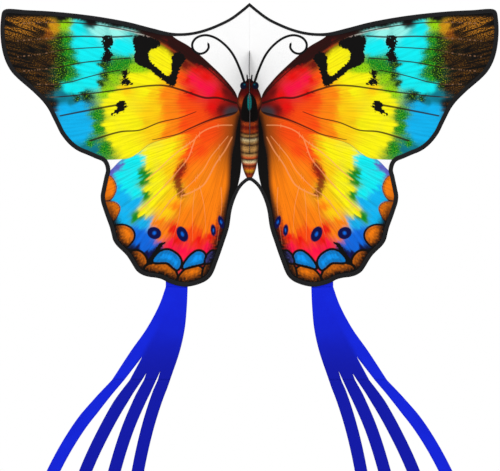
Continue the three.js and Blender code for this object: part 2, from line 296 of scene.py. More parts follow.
def both_sides(piece, body=None, bend=None):
    """Puts a right-hand piece and its mirror image on their bodies, or bends them between two."""
    pair = [mirrored(piece), piece]
    for (side, sign), each in zip(SIDES, pair):
        if bend is None:
            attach(each, body.replace("right", side))
            continue
        first, second, start, end = bend
        flip = Vector((sign, 1, 1))
        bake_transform(each, first.replace("right", side), second.replace("right", side),
                 start=Vector(start) * flip, end=Vector(end) * flip)
    return pair


# %% [markdown]
# ## Smooth lines
# A pattern maker bends a thin batten through a few pins to draw a fair curve. `curve` does that: a
# centripetal Catmull-Rom spline, which doesn't loop at tight corners, walked in equal steps.

# %% Curves
def lengths_along(route):
    """How far along a route each of its points lies."""
    return np.concatenate([[0], np.cumsum(np.linalg.norm(np.diff(route, axis=0), axis=1))])


def across_route(route):
    """The direction across a route at each of its points, one unit long."""
    forward = np.gradient(route, axis=0)
    forward /= np.linalg.norm(forward, axis=1)[:, None]
    return np.column_stack([forward[:, 1], -forward[:, 0]])


def curve(points, step, closed=False):
    """Equally spaced points on a smooth line through the given ones."""
    pins = np.array(points, float)
    if closed:
        pins = np.vstack([pins[-1:], pins, pins[:2]])
    else:
        pins = np.vstack([2 * pins[0] - pins[1], pins, 2 * pins[-1] - pins[-2]])
    fine = []
    for a, b, c, d in zip(pins, pins[1:], pins[2:], pins[3:]):
        knots = np.cumsum([0] + [math.sqrt(np.linalg.norm(q - p)) for p, q in ((a, b), (b, c), (c, d))])
        for t in np.linspace(knots[1], knots[2], 16, endpoint=False):
            ab = a + (b - a) * (t - knots[0]) / (knots[1] - knots[0])
            bc = b + (c - b) * (t - knots[1]) / (knots[2] - knots[1])
            cd = c + (d - c) * (t - knots[2]) / (knots[3] - knots[2])
            abc = ab + (bc - ab) * (t - knots[0]) / (knots[2] - knots[0])
            bcd = bc + (cd - bc) * (t - knots[1]) / (knots[3] - knots[1])
            fine.append(abc + (bcd - abc) * (t - knots[1]) / (knots[2] - knots[1]))
    fine = np.array(fine + [pins[-2]])
    lengths = lengths_along(fine)
    count = max(2, round(lengths[-1] / step))
    spots = np.linspace(0, lengths[-1], count + 1)
    return np.column_stack([np.interp(spots, lengths, column) for column in fine.T])


# %% [markdown]
# ## The outline of the sail
# The binding's CAD node already follows the edge of the sail in short straight stretches. Its front
# face is one ring of faces, and the ring's border, walked from the peak to the arch under the body,
# gives the pins for a fair curve. The CAD binding stops short of the seam, so the two ends are drawn
# on to the centre line.

# %% Read the outline from the frame
def border_of_front(node):
    """The border of a node's front face, as one closed loop of points."""
    bm = bmesh.new()
    bm.from_mesh(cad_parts[node].data)
    bmesh.ops.remove_doubles(bm, verts=bm.verts, dist=1e-6)
    front = min(vertex.co.y for vertex in bm.verts)
    faces = {face for face in bm.faces if all(abs(v.co.y - front) < 1e-5 for v in face.verts)}
    edges = {edge for face in faces for edge in face.edges
             if sum(neighbour in faces for neighbour in edge.link_faces) == 1}
    start = next(iter(edges))
    walk, at = [start.verts[0]], start.verts[1]
    edges.remove(start)
    while at != walk[0]:
        walk.append(at)
        following = next(edge for edge in at.link_edges if edge in edges)
        edges.remove(following)
        at = following.other_vert(at)
    loop = np.array([[vertex.co.x, vertex.co.z] for vertex in walk]) / MM
    bm.free()
    return np.column_stack([loop[:, 0], PEAK_Z / MM - loop[:, 1]])


loop = border_of_front("right_edge_binding")
cut = loop[:, 0].min() + 0.1                    # where the CAD binding stops, beside the seam
first = min((i for i in range(len(loop)) if loop[i, 0] < cut), key=lambda i: loop[i, 1])
loop = np.roll(loop, -first, axis=0)
if loop[1, 0] < cut:
    loop = np.roll(loop[::-1], 1, axis=0)
last = next(i for i in range(2, len(loop)) if loop[i, 0] < cut)
pins = loop[1:last]


def on_centre_line(near, far):
    """Where the line from far through near meets the centre line."""
    slope = (far[1] - near[1]) / (far[0] - near[0])
    return np.array([0, near[1] - near[0] * slope])


peak = on_centre_line(loop[0], pins[0])
arch = on_centre_line(loop[last], pins[-1])
EDGE_STEP = 3
mirrored_end = pins[-1] * (-1, 1)
edge = curve([peak, *pins, arch, mirrored_end], EDGE_STEP)
edge = edge[edge[:, 0] > 0.5 * EDGE_STEP]
edge = np.vstack([peak, edge, arch])
print("half outline:", len(pins), "pins,", round(len(edge) * EDGE_STEP * MM, 2), "m of edge")

# %% [markdown]
# ## Distances on the drawing
# A printed shape with a crisp edge is held as a signed distance: below zero inside the shape, above
# zero outside. It varies smoothly, so a coarse grid of vertices can carry it, and the material cuts it
# off at zero. A thin line is held in the same way, with a sign for its two sides.

# %% Signed distance to a shape, and to a line
def to_stretch(points, a, b):
    """Distance from each point to one straight stretch, and where on it, 0 to 1 between its ends."""
    along = b - a
    share = ((points - a) @ along) / max(along @ along, 1e-12)
    nearest = a + np.clip(share, 0, 1)[:, None] * along
    return np.linalg.norm(points - nearest, axis=1), share, nearest


def to_shape(points, corners):
    """Signed distance to a closed shape, below zero inside, and the nearest point of its border."""
    corners = np.array(corners, float)
    best = np.full(len(points), 1e9)
    nearest = np.zeros_like(points)
    inside = np.zeros(len(points), bool)
    x, y = points.T
    for a, b in zip(corners, np.roll(corners, -1, axis=0)):
        distance, _, spot = to_stretch(points, a, b)
        closer = distance < best
        best[closer] = distance[closer]
        nearest[closer] = spot[closer]
        if a[1] != b[1]:
            crosses = (a[1] > y) != (b[1] > y)
            inside ^= crosses & (x < a[0] + (y - a[1]) * (b[0] - a[0]) / (b[1] - a[1]))
    return np.where(inside, -best, best), nearest


def to_line(points, route):
    """Distance to an open line, which side of it, how far along, 0 to 1, and how far past its ends."""
    best = np.full(len(points), 1e9)
    side, share, past = np.ones(len(points)), np.zeros(len(points)), np.zeros(len(points))
    for i, (a, b) in enumerate(zip(route, route[1:])):
        distance, t, _ = to_stretch(points, a, b)
        closer = distance < best
        best[closer] = distance[closer]
        across = (b[0] - a[0]) * (points[:, 1] - a[1]) - (b[1] - a[1]) * (points[:, 0] - a[0])
        side[closer] = np.where(across < 0, -1, 1)[closer]
        share[closer] = ((i + np.clip(t, 0, 1)) / (len(route) - 1))[closer]
        over = np.zeros(len(points))
        if i == 0:
            over = np.maximum(over, -t)
        if i == len(route) - 2:
            over = np.maximum(over, t - 1)
        past[closer] = (over * np.linalg.norm(b - a))[closer]
    return best, side, share, past


# %% [markdown]
# ## Cutting cloth
# `cut_cloth` lays a grid over the drawing, drops what lies outside the shape and pulls the ragged
# border onto the line. The even grid inside is what lets the sail carry a print and ripple in folds.
# The UV map called flat keeps each point's place on the flat cloth, in metres, so the weave stays
# still on the cloth when a wing folds.

# %% cut_cloth and its columns
def even(low, high, step):
    return np.linspace(low, high, round((high - low) / step) + 1)


def cut_cloth(columns, rows, shape, lay):
    """A bmesh of the cloth inside shape. lay takes [across, down] and gives the point in space."""
    bm = bmesh.new()
    flat = bm.loops.layers.uv.new("flat")
    bmesh.ops.create_grid(bm, x_segments=len(columns) - 1, y_segments=len(rows) - 1, size=0.5)
    spots = np.array([vertex.co[:2] for vertex in bm.verts]) + 0.5
    points = np.column_stack([
        np.interp(spots[:, 0], np.linspace(0, 1, len(columns)), columns),
        np.interp(spots[:, 1], np.linspace(0, 1, len(rows)), rows)])
    distance, border = to_shape(points, shape)
    inside = distance < 0
    kept = {face for face in bm.faces if any(inside[vertex.index] for vertex in face.verts)}
    points[~inside] = border[~inside]
    for vertex, point in zip(bm.verts, points):
        vertex.co = (point[0], point[1], 0)
    bmesh.ops.delete(bm, geom=[f for f in bm.faces if f not in kept], context="FACES")
    for face in bm.faces:
        for corner in face.loops:
            corner[flat].uv = (corner.vert.co.x * MM, corner.vert.co.y * MM)
    for vertex in bm.verts:
        vertex.co = lay(vertex.co.x, vertex.co.y)
    return bm


def flat_area(piece):
    """The cloth's area before it was bent, from its flat UV map, in square metres."""
    uv = piece.data.uv_layers["flat"].data
    area = 0
    for face in piece.data.polygons:
        corners = [uv[i].uv for i in face.loop_indices]
        area += sum(a.x * b.y - b.x * a.y for a, b in zip(corners, corners[1:] + corners[:1])) / 2
    return abs(area)


# %% [markdown]
# ## How the sail fills
# Cloth between stiff rods isn't dead flat. The wind pushes it back a little between the rods, and the
# bound edge puckers. `fill` is that shape, in millimetres in front of the flat sail. The binding and
# the stitches use it too, so that they stay on the cloth. It fades to nothing at the seam, where both
# wings fold.

# %% The shape of the filled sail
def fill(out, down):
    fade = min(1, abs(out) / 60) ** 2
    broad = math.sin(out / 88) * math.sin(down / 71 + 0.6) + 0.6 * math.sin(out / 47 - down / 83)
    pucker = 0.35 * noise.noise(Vector((out / 26, down / 26, 4.0)))
    return fade * (0.9 * broad + pucker + 0.9)


def on_sail(out, down, back=0.0):
    return place(out, down, back - fill(out, down))


# %% The cloth of one wing
RAW_EDGE = 1                          # the cloth stops this far inside the fold of the binding
CELL = 2.9                            # size of a square of the sail's grid
BODY_CELL, BODY_REACH = 1.45, 37.7    # and the finer columns where the body is printed


def inset(route, distance):
    """The outline moved inwards. Where it would fold over itself, it takes the short way across."""
    before = np.vstack([route[1] * (-1, 1), route[:-1]])
    after = np.vstack([route[1:], route[-2] * (-1, 1)])
    forward = after - before
    forward /= np.linalg.norm(forward, axis=1)[:, None]
    moved = route + distance * np.column_stack([-forward[:, 1], forward[:, 0]])
    rise = route[1] - route[0]
    moved[0] = route[0] + (0, distance * np.linalg.norm(rise) / abs(rise[0]))
    moved[-1] = route[-1] - (0, distance)
    clear = np.array([np.min(np.linalg.norm(route - point, axis=1)) > 0.985 * distance
                      for point in moved])
    clear &= moved[:, 0] > 0
    clear[[0, -1]] = True
    index = np.arange(len(route))
    return np.column_stack([np.interp(index, index[clear], moved[clear, axis]) for axis in (0, 1)])


cloth_edge = inset(edge, RAW_EDGE)
columns = np.concatenate([even(0, BODY_REACH, BODY_CELL)[:-1],
                          even(BODY_REACH, edge[:, 0].max() + CELL, CELL)])
rows = even(0, edge[:, 1].max() + CELL, CELL)
bm = cut_cloth(columns, rows, cloth_edge, on_sail)
bmesh.ops.recalc_face_normals(bm, faces=bm.faces)
print("cloth of one wing:", len(bm.faces), "faces")

# %% [markdown]
# ## The print, as a dyer would lay it down
# A sail like this is printed with a painted butterfly. There are no pictures here: the print is built
# from washes of dye, crisp shapes and drawn lines. A wash is a few drops of a named dye, each dropped
# at a place on the drawing, and every point takes its colour from the drops near it. The places
# are shaken along the wing's ribs first, which gives the feathered edges of wing scales.

# %% The dyes
DYES = {
    "black": dye(10, 6, 3), "umber": dye(34, 20, 5), "rust": dye(125, 62, 10), "gold": dye(205, 145, 15),
    "pine": dye(6, 50, 14), "green": dye(16, 140, 30), "lime": dye(150, 215, 0),
    "cyan": dye(0, 238, 245), "ice": dye(150, 245, 235), "teal": dye(0, 120, 140),
    "azure": dye(0, 178, 240), "sky": dye(0, 150, 245), "blue": dye(0, 105, 225), "violet": dye(95, 95, 190),
    "yellow": dye(255, 246, 0), "amber": dye(255, 205, 0), "orange": dye(255, 128, 0),
    "flame": dye(255, 75, 0), "red": dye(238, 12, 0), "magenta": dye(255, 0, 70),
    "wine": dye(110, 5, 5), "maroon": dye(46, 10, 6), "navy": dye(8, 6, 70),
    "tan": dye(190, 140, 80), "cream": dye(222, 200, 150), "copper": dye(190, 75, 30),
    "grey": dye(60, 60, 66), "frost": dye(215, 235, 225), "blush": dye(255, 160, 100),
    "bark": dye(40, 14, 4), "fawn": dye(130, 95, 70), "gilt": dye(235, 150, 40), "ink": dye(16, 16, 18),
    "peacock": dye(20, 150, 150), "midnight": dye(6, 22, 48),
}

# %% Washes: drops of dye on the fore wing
FORE_WASH = {
    "black": [(690, 50), (690, 120), (660, 180), (630, 217), (590, 255), (560, 290), (640, 38), (530, 42),
              (450, 50), (370, 60), (645, 150), (618, 135), (600, 205), (574, 172), (562, 236), (690, 90),
              (572, 128), (626, 180)],
    "umber": [(640, 118), (595, 165), (560, 150), (578, 226), (612, 205), (600, 60), (626, 78),
              (572, 58), (655, 78), (604, 100), (592, 80), (668, 98)],
    "rust": [(566, 84)],
    "gold": [(548, 70)],
    "maroon": [(240, 104), (224, 114), (262, 97), (286, 90), (202, 130)],
    "lime": [(518, 62), (308, 182), (330, 186), (385, 212), (414, 250), (402, 240)],
    "pine": [(545, 125), (533, 160), (530, 188), (540, 228), (410, 177), (398, 206), (412, 228), (460, 262),
             (488, 270), (530, 104), (528, 138), (526, 172), (528, 205)],
    "green": [(516, 104), (512, 138), (508, 172), (512, 211), (426, 316), (423, 352), (452, 398), (404, 408),
              (370, 177), (345, 168), (390, 190)],
    "cyan": [(480, 74), (477, 110), (440, 110), (464, 146), (430, 144), (460, 183), (430, 183), (455, 222),
             (432, 228), (364, 118), (345, 132), (508, 238), (482, 246)],
    "ice": [(426, 80), (372, 84)],
    "teal": [(528, 262), (440, 414), (462, 410), (505, 276)],
    "azure": [(480, 290), (512, 294), (516, 307), (488, 341), (477, 318), (500, 365), (470, 380), (460, 346)],
    "yellow": [(388, 266), (364, 268), (392, 296), (350, 324), (395, 346), (376, 386), (336, 411),
               (322, 344), (294, 251), (308, 211), (280, 216), (262, 140), (236, 148), (262, 164), (236, 190),
               (222, 164), (330, 206), (318, 222)],
    "amber": [(274, 256), (266, 301), (285, 330), (350, 246), (262, 356)],
    "orange": [(235, 259), (229, 296), (220, 326), (212, 240), (225, 368)],
    "flame": [(183, 276), (167, 307), (180, 342), (139, 318), (195, 205)],
    "red": [(161, 256), (90, 262), (105, 293), (176, 216), (125, 206), (150, 186)],
    "magenta": [(161, 213), (138, 231), (114, 246)],
    "wine": [(43, 270), (43, 292), (62, 251), (77, 300), (184, 152), (205, 116), (160, 164), (182, 176)],
}
# %% Washes: drops of dye on the hind wing
HIND_WASH = {
    "cyan": [(336, 436), (316, 448), (342, 459), (364, 482), (322, 487), (345, 513), (314, 532)],
    "violet": [(368, 462), (383, 474)],
    "azure": [(370, 532), (356, 558), (333, 572), (350, 602), (363, 618), (322, 560), (384, 560), (302, 623)],
    "blue": [(308, 650), (291, 665), (316, 672), (335, 655), (280, 688), (302, 690)],
    "yellow": [(280, 454), (266, 493), (282, 525), (271, 558), (297, 586), (235, 431), (218, 414), (277, 428),
               (252, 527)],
    "amber": [(252, 575), (235, 590), (223, 544), (229, 476), (198, 418)],
    "orange": [(178, 600), (206, 572), (122, 555), (83, 504), (72, 555), (97, 442), (66, 456), (161, 504),
               (139, 617), (105, 597), (256, 620), (242, 650), (185, 628), (124, 640)],
    "flame": [(180, 437), (167, 414), (138, 414), (195, 476), (125, 375), (167, 352), (105, 363), (80, 640),
              (150, 655), (166, 650), (98, 672)],
    "navy": [(318, 702), (292, 712), (272, 702)],
    "red": [(215, 640), (206, 668), (112, 664), (84, 665), (146, 676)],
    "magenta": [(190, 700), (118, 696), (168, 712), (222, 688)],
    "green": [(298, 478), (297, 498), (291, 540), (314, 598)],
}
# the body is even from side to side, so its drops lie along it, with a darker flank
BODY_WASH = [(214, "wine"), (236, "maroon"), (262, "wine"), (285, "copper"), (306, "maroon"), (330, "black"),
             (342, "copper"), (352, "wine"), (364, "copper"), (370, "umber"), (375, "tan"), (381, "maroon"),
             (387, "cream"), (395, "tan"), (401, "maroon"), (408, "tan"), (417, "tan"), (424, "umber"),
             (430, "tan"), (437, "copper"), (442, "umber"), (449, "cream"), (455, "copper"), (460, "umber"),
             (467, "copper"), (474, "gold"), (481, "wine"), (488, "copper"), (499, "umber")]
WARM = ("yellow", "amber", "orange", "flame", "red", "magenta", "wine")       # dyes that run together
# how strongly a dye is mottled with scales
SPECKLED = {"umber": 0.3, "rust": 0.5, "gold": 0.4, "pine": 1, "green": 0.9, "lime": 0.8}

# %% Spread the washes
FORE_ROOT, HIND_ROOT = (35, 285), (45, 345)     # the ribs of each wing run out from here


def shaken(points, root, reach):
    """Points moved along the ribs by a noise that is long on a rib and narrow across it."""
    offset = points - root
    far = np.linalg.norm(offset, axis=1)
    turn = np.arctan2(offset[:, 1], offset[:, 0])
    shake = np.array([noise.fractal(Vector((angle * 38, radius / 80, 0.5)), 0.8, 2.0, 4)
                      for angle, radius in zip(turn, far)])
    fine = np.array([noise.noise(Vector((x / 7, y / 7, 2.5))) for x, y in points])
    share = (reach * shake + 0.35 * reach * fine) * np.clip(far / 120, 0.1, 1)
    return points + offset / np.maximum(far, 1)[:, None] * share[:, None]


def washed(points, wash, keenness=5.0, running=3.4):
    """The colour at each point, and how much of it is mottled, from the drops of dye near it."""
    colour, warm = np.zeros((2, len(points), 4))
    mottle, total, warm_weight, warm_total = np.full((4, len(points)), 1e-16)
    for name, drops in wash.items():
        for drop in drops:
            far = np.linalg.norm(points - drop, axis=1) + 4
            weight = far ** -keenness
            total += weight
            mottle += weight * SPECKLED.get(name, 0)
            if name in WARM:
                warm += (far ** -running)[:, None] * np.array(DYES[name])
                warm_total += far ** -running
                warm_weight += weight
            else:
                colour += weight[:, None] * np.array(DYES[name])
    colour += warm * (warm_weight / warm_total)[:, None]
    return colour / total[:, None], mottle / total


def blended(under, over, cover):
    """One layer of dye over another, where cover is 1."""
    return under + (np.array(over) - under) * np.clip(cover, 0, 1)[:, None]


def soft(distance, low, high):
    share = np.clip((distance - low) / (high - low), 0, 1)
    return share * share * (3 - 2 * share)


sail = new_piece("right_printed_sail", bm, [], ["right_sail"])
points = np.zeros((len(sail.data.vertices), 2))
for spot, corner in zip(sail.data.uv_layers["flat"].data, sail.data.loops):
    points[corner.vertex_index] = spot.uv
points /= MM
on_fore, mottled = washed(shaken(points, FORE_ROOT, 11), FORE_WASH)
on_hind, hind_mottled = washed(shaken(points, HIND_ROOT, 16), HIND_WASH)
print("print points:", len(points))

# %% [markdown]
# ## Crisp shapes of the print
# The edges between the wings, the body and the bare white cloth are signed distances. So is the black
# ink of the blotches, the border cells and the eye spots. Furry ones are roughened by noise before
# they are cut. An attribute on the vertices hands each to the material.

# %% Where each part of the print lies
def outside(shape, step):
    """How far each point of the print lies outside a shape with a fair outline, in millimetres."""
    return to_shape(points, curve(shape, step, closed=True))[0]


FORE_EDGE = [(35, 262), (66, 217), (111, 172), (167, 124), (221, 88), (240, 40), (720, -10), (740, 260),
             (560, 440), (415, 442), (342, 437), (316, 424), (280, 396), (223, 378), (167, 358), (105, 330),
             (35, 306)]
HIND_EDGE = [(25, 300), (105, 315), (230, 360), (300, 410), (320, 427), (342, 431), (364, 444), (388, 468),
             (420, 500), (430, 800), (20, 810), (40, 560), (24, 470)]
BODY_EDGE = [(-1, 213), (9, 218), (17, 229), (26, 245), (33, 264), (35, 284), (29, 306), (25, 335), (26, 372),
             (25, 414), (23, 442), (18, 468), (9, 490), (-1, 502)]

INNER_INK = [(26, 316), (34, 345), (42, 395), (49, 430), (52, 470), (55, 515), (60, 550), (65, 590),
             (68, 650), (76, 700), (40, 700), (10, 540), (10, 420)]
BLACK_BAND = [(324, 98), (266, 104), (254, 116), (276, 127), (286, 134), (284, 163), (261, 186), (233, 208),
              (219, 205), (216, 175), (214, 151), (205, 142), (186, 149), (183, 161), (193, 170),
              (199, 184), (205, 203), (214, 231), (223, 229), (242, 215), (280, 186), (299, 177), (320, 163),
              (320, 132)]
BLOTCHES = [
    [(409, 94), (388, 98), (384, 113), (396, 130), (387, 146), (400, 166), (414, 155), (405, 135),
     (413, 118)],
    [(358, 192), (342, 192), (346, 211), (332, 229), (361, 226), (354, 211)],
    [(373, 285), (356, 277), (348, 293), (361, 305), (388, 313), (373, 299)],
]
HIND_BLOTCH = [(236, 674), (247, 688), (262, 708), (284, 738), (304, 752), (290, 730), (268, 698), (252, 676)]
# the border cells of the hind wing, each as its dye, the width of its ink, and its shape
CELLS = [
    ("orange", 3, [(395, 488), (382, 501), (376, 520), (382, 540), (394, 554), (420, 552), (420, 500)]),
    ("orange", 3, [(415, 563), (378, 563), (366, 577), (372, 597), (384, 614), (406, 600)]),
    ("orange", 6, [(384, 634), (359, 627), (334, 637), (326, 654), (333, 672), (354, 688), (388, 676)]),
    ("orange", 7, [(335, 704), (314, 700), (296, 714), (291, 732), (306, 750), (328, 730)]),
    ("orange", 7, [(294, 746), (266, 735), (232, 737), (213, 752), (205, 782), (240, 782), (270, 766)]),
    ("orange", 7, [(202, 788), (186, 758), (161, 744), (137, 747), (131, 770), (158, 792)]),
    ("orange", 6, [(130, 768), (122, 738), (105, 727), (97, 741), (112, 768)]),
    ("sky", 7, [(270, 728), (252, 703), (229, 697), (201, 714), (194, 732), (204, 750), (231, 731)]),
    ("sky", 7, [(186, 746), (172, 720), (145, 700), (129, 706), (126, 728), (145, 736), (168, 742)]),
    ("violet", 6, [(123, 732), (117, 710), (102, 699), (93, 707), (105, 726)]),
]
# the eye spots, each as its centre, its two radii and its lean in degrees
EYE_SPOTS = [(268, 648, 20, 17, -20), (189, 651, 15, 23, 25), (102, 640, 7.5, 17, 5), (80, 617, 8, 19, 15)]


def fur(points, reach, size):
    """A roughness for an ink edge, so many millimetres deep, in tufts of that size."""
    return reach * np.array([noise.fractal(Vector((x / size, y / size, 7)), 0.8, 2, 3) for x, y in points])


fore_edge = outside(FORE_EDGE, 6)
hind_edge = outside(HIND_EDGE, 6)
body_edge = outside(BODY_EDGE, 4)
tufts = fur(points, 5, 5)
ink = outside(BLACK_BAND, 5) + tufts - 3.5
for blotch in BLOTCHES:
    ink = np.minimum(ink, outside(blotch, 4) + 2.2 * tufts - 1.5)
ink = np.where(fore_edge < 0, ink, 9)
inner_ink = outside(INNER_INK, 6)
near_body = (1 - soft(inner_ink, 0, 72)) * (1 - soft(points[:, 1], 400, 520))
on_hind = blended(on_hind, DYES["rust"], 0.9 * near_body)
on_hind = blended(on_hind, DYES["umber"], 0.9 * (1 - soft(inner_ink, 0, 16)))
smudge = to_line(points, curve([(186, 458), (203, 496), (192, 538)], 6))[0]
on_hind = blended(on_hind, DYES["wine"], 0.85 * (1 - soft(smudge + 1.5 * tufts, 4, 18)))
hind_ink = inner_ink + 0.3 * tufts
hind_ink = np.minimum(hind_ink, outside(HIND_BLOTCH, 4) + 0.5 * tufts)

# %% Border cells and eye spots of the hind wing
ink_dye = np.tile(np.array(DYES["black"]), (len(points), 1))
for name, border, shape in CELLS:
    cell = outside(shape, 4)
    on_hind = blended(on_hind, DYES[name], soft(-cell, -3, -1))
    shade = (1 - soft(-cell + tufts, border, border + 5)) * (cell < 0)
    on_hind = blended(on_hind, DYES["black"], 0.4 * shade)
    hind_ink = np.minimum(np.maximum(cell - border, -cell), np.where(cell < 0, -cell, hind_ink))
from_edge = -to_shape(points, np.vstack([edge[::3], edge[::-3] * (-1, 1)]))[0]
rim = 1 - soft(from_edge + 1.5 * tufts, 14, 46)
on_hind = blended(on_hind, DYES["black"], rim * soft(points[:, 1], 500, 620))
for out, down, wide, tall, lean in EYE_SPOTS:
    turn = math.radians(lean)
    across, along = (points - (out, down)).T
    a = (across * math.cos(turn) + along * math.sin(turn)) / wide
    b = (along * math.cos(turn) - across * math.sin(turn)) / tall
    spot = (np.hypot(a, b) - 1) * min(wide, tall)
    hind_ink = np.minimum(hind_ink, spot)
    ink_dye = blended(ink_dye, DYES["navy"], soft(-spot, -4, 1))
    ink_dye = blended(ink_dye, DYES["blue"], soft(-np.hypot(a / 0.34, b / 0.42), -1, -0.4))
ink = np.where((hind_edge < 0) & (fore_edge > 0), hind_ink, ink)

# %% [markdown]
# ## Drawn lines of the print
# A wing's veins fan out from its root. Each line gives its distance, and the sign flips from one side
# of every line to the other, so that the value passes through zero only on the lines themselves. The
# width tapers out past the ends of a line.

# %% Veins and feelers
# each line is its half width at the root, its half width at the tip, and its route
FORE_VEINS = [
    (1.2, 1.6, [(37, 262), (97, 203), (167, 149), (252, 101), (336, 79), (421, 63), (505, 55), (590, 55),
                (646, 58)]),
    (2.0, 1.6, [(330, 93), (392, 96), (477, 94), (561, 99), (654, 107)]),
    (1.2, 1.5, [(406, 124), (477, 128), (533, 133), (576, 142), (654, 152)]),
    (1.5, 1.5, [(336, 155), (406, 161), (477, 169), (533, 180), (604, 189), (640, 192)]),
    (1.2, 1.5, [(364, 189), (421, 200), (463, 211), (505, 223), (547, 229), (598, 229)]),
    (2.6, 1.4, [(37, 282), (90, 267), (125, 267), (195, 244), (237, 233), (280, 233), (350, 242), (429, 253),
                (505, 262), (561, 266)]),
    (2.4, 1.8, [(359, 285), (421, 296), (477, 307), (533, 318)]),
    (0.8, 2.4, [(150, 306), (195, 323), (252, 336), (308, 358), (364, 363), (449, 388)]),
    (2.4, 0.8, [(35, 308), (105, 327), (167, 353), (201, 369), (237, 378), (274, 386)]),
]
HIND_VEINS = [
    (1.6, 1.2, [(49, 344), (90, 346), (133, 363), (153, 383), (187, 408), (223, 437), (257, 470),
                (291, 499)]),
    (1.5, 1.2, [(153, 383), (163, 412), (173, 437), (195, 465), (229, 504), (266, 544), (308, 584)]),
    (1.0, 1.2, [(60, 375), (88, 408), (111, 437), (130, 470), (175, 518), (215, 548), (252, 597),
                (266, 617)]),
    (1.6, 1.8, [(49, 378), (68, 414), (97, 456), (116, 493), (130, 513), (161, 532), (192, 544)]),
    (0.9, 0.2, [(139, 520), (128, 570), (122, 660)]),
    (0.8, 0.2, [(155, 532), (160, 590), (160, 672)]),
    (0.8, 0.2, [(192, 545), (198, 600), (214, 660)]),
    (0.9, 0.2, [(80, 520), (78, 570), (92, 680)]),
]
FEELERS = [
    (2.9, 2.7, [(14, 224), (26, 189), (46, 146), (68, 119), (97, 98), (125, 91), (150, 99), (161, 115),
                (158, 132), (142, 143), (125, 139), (115, 126), (116, 115)]),
    (2.0, 1.6, [(5, 224), (7, 203)]),
]
HIDDEN = -30                          # a half width so far below zero that nothing is drawn


def drawn(points, lines, step=6):
    """A signed distance that is zero on every line, and the half width of the line that is nearest."""
    nearest, sign = np.full(len(points), 1e9), np.ones(len(points))
    width = np.full(len(points), float(HIDDEN))
    for root, tip, route in lines:
        distance, side, share, past = to_line(points, curve(route, step))
        sign *= side
        here = 1.2 * (root + (tip - root) * share) - 0.5 * past
        here = np.where(distance < 2 * CELL + root, here, HIDDEN)
        closer = distance < nearest
        width[closer] = here[closer]
        nearest[closer] = distance[closer]
    return nearest * sign, width


def give(mesh, name, values):
    """An attribute of the vertices: one number each, or one colour each."""
    kind, field = ("FLOAT", "value") if values.ndim == 1 else ("FLOAT_COLOR", "color")
    attribute = mesh.attributes.new(name, kind, "POINT")
    attribute.data.foreach_set(field, values.astype(np.float32).ravel())


# %% Shade the washes and hand everything to the mesh
LEADING_BAND = [(686, 18), (560, 22), (477, 30), (400, 43), (320, 59), (251, 78), (221, 86), (167, 124),
                (111, 172), (66, 217), (35, 262)]
PALE_STREAK = [(392, 72), (342, 77), (294, 93), (257, 110), (218, 132), (178, 161), (150, 182)]
band, _, band_share, _ = to_line(points, np.array(LEADING_BAND, float))
band_dye = blended(np.tile(DYES["black"], (len(points), 1)), DYES["maroon"], soft(band_share, 0.35, 0.6))
reach = 23 + 25 * soft(band_share, 0.55, 0.68) - 36 * soft(band_share, 0.68, 0.85)
glow = 0.8 * soft(band_share, 0.5, 0.62) * (1 - soft(band + tufts, reach - 6, reach + 14))
on_fore = blended(on_fore, DYES["wine"], glow)
on_fore = blended(on_fore, band_dye, 1 - soft(band + tufts, reach - 10, reach))
streak, _, streak_share, _ = to_line(points, curve(PALE_STREAK, 6))
streak_dye = np.tile(DYES["frost"], (len(points), 1))
streak_dye = blended(streak_dye, DYES["copper"], soft(streak_share, 0.25, 0.55))
on_fore = blended(on_fore, streak_dye, (0.95 - 0.6 * streak_share) * (1 - soft(streak, 1, 3.4)))
root_shade = np.linalg.norm((points - (48, 310)) / (1.0, 0.8), axis=1)
on_fore = blended(on_fore, DYES["grey"], 0.95 * (1 - soft(root_shade, 12, 34)))

across = points[:, 0] / 26
at = np.interp(points[:, 1] + 5 * across ** 2, [d for d, _ in BODY_WASH], range(len(BODY_WASH)))
low = np.floor(at).astype(int)
high = np.minimum(low + 1, len(BODY_WASH) - 1)
body_dyes = np.array([DYES[name] for _, name in BODY_WASH])
on_body = body_dyes[low] + (body_dyes[high] - body_dyes[low]) * (at - low)[:, None]
on_body = blended(on_body, DYES["maroon"], 0.85 * (1 - soft(-body_edge, 1, 11)))
BACK_SHIELD = [(-1, 252), (9, 259), (18, 275), (22, 301), (21, 330), (-1, 334)]
SHIELD_GLEAM = [(-1, 258), (4, 262), (4, 298), (-1, 303)]
core = outside(BACK_SHIELD, 4)
on_body = blended(on_body, DYES["black"], soft(-core, -1.5, 0.5))
gleam = outside(SHIELD_GLEAM, 3)
on_body = blended(on_body, DYES["peacock"], 0.9 * soft(-gleam, -1, 2))
eye = np.linalg.norm((points - (17, 233)) / (1, 1.15), axis=1)
on_body = blended(on_body, DYES["midnight"], 1 - soft(eye, 8, 9.5))
on_body = blended(on_body, DYES["teal"], 1 - soft(np.linalg.norm(points - (14, 229), axis=1), 1, 3.5))
body_edge = np.minimum(body_edge, eye - 9.5)

gilt = soft(points[:, 0], 525, 560) * (0.1 + 0.5 * (1 - soft(points[:, 1], 76, 108)))
gilt *= soft(band, 16, 24)
vein, vein_width = drawn(points, FORE_VEINS)
rib, rib_width = drawn(points, HIND_VEINS)
feeler, feeler_width = drawn(points, FEELERS, step=3)
for name, values in (
        ("fore_dye", on_fore), ("hind_dye", on_hind), ("body_dye", on_body), ("ink_dye", ink_dye),
        ("fore_edge", fore_edge), ("hind_edge", hind_edge), ("body_edge", body_edge), ("ink", ink),
        ("gilt", gilt), ("mottle", np.where(fore_edge < 0, mottled, 0.3 * hind_mottled)),
        ("vein", vein), ("vein_width", vein_width), ("rib", rib), ("rib_width", rib_width),
        ("feeler", feeler), ("feeler_width", feeler_width)):
    give(sail.data, name, values)
print("print attributes:", len(sail.data.attributes))

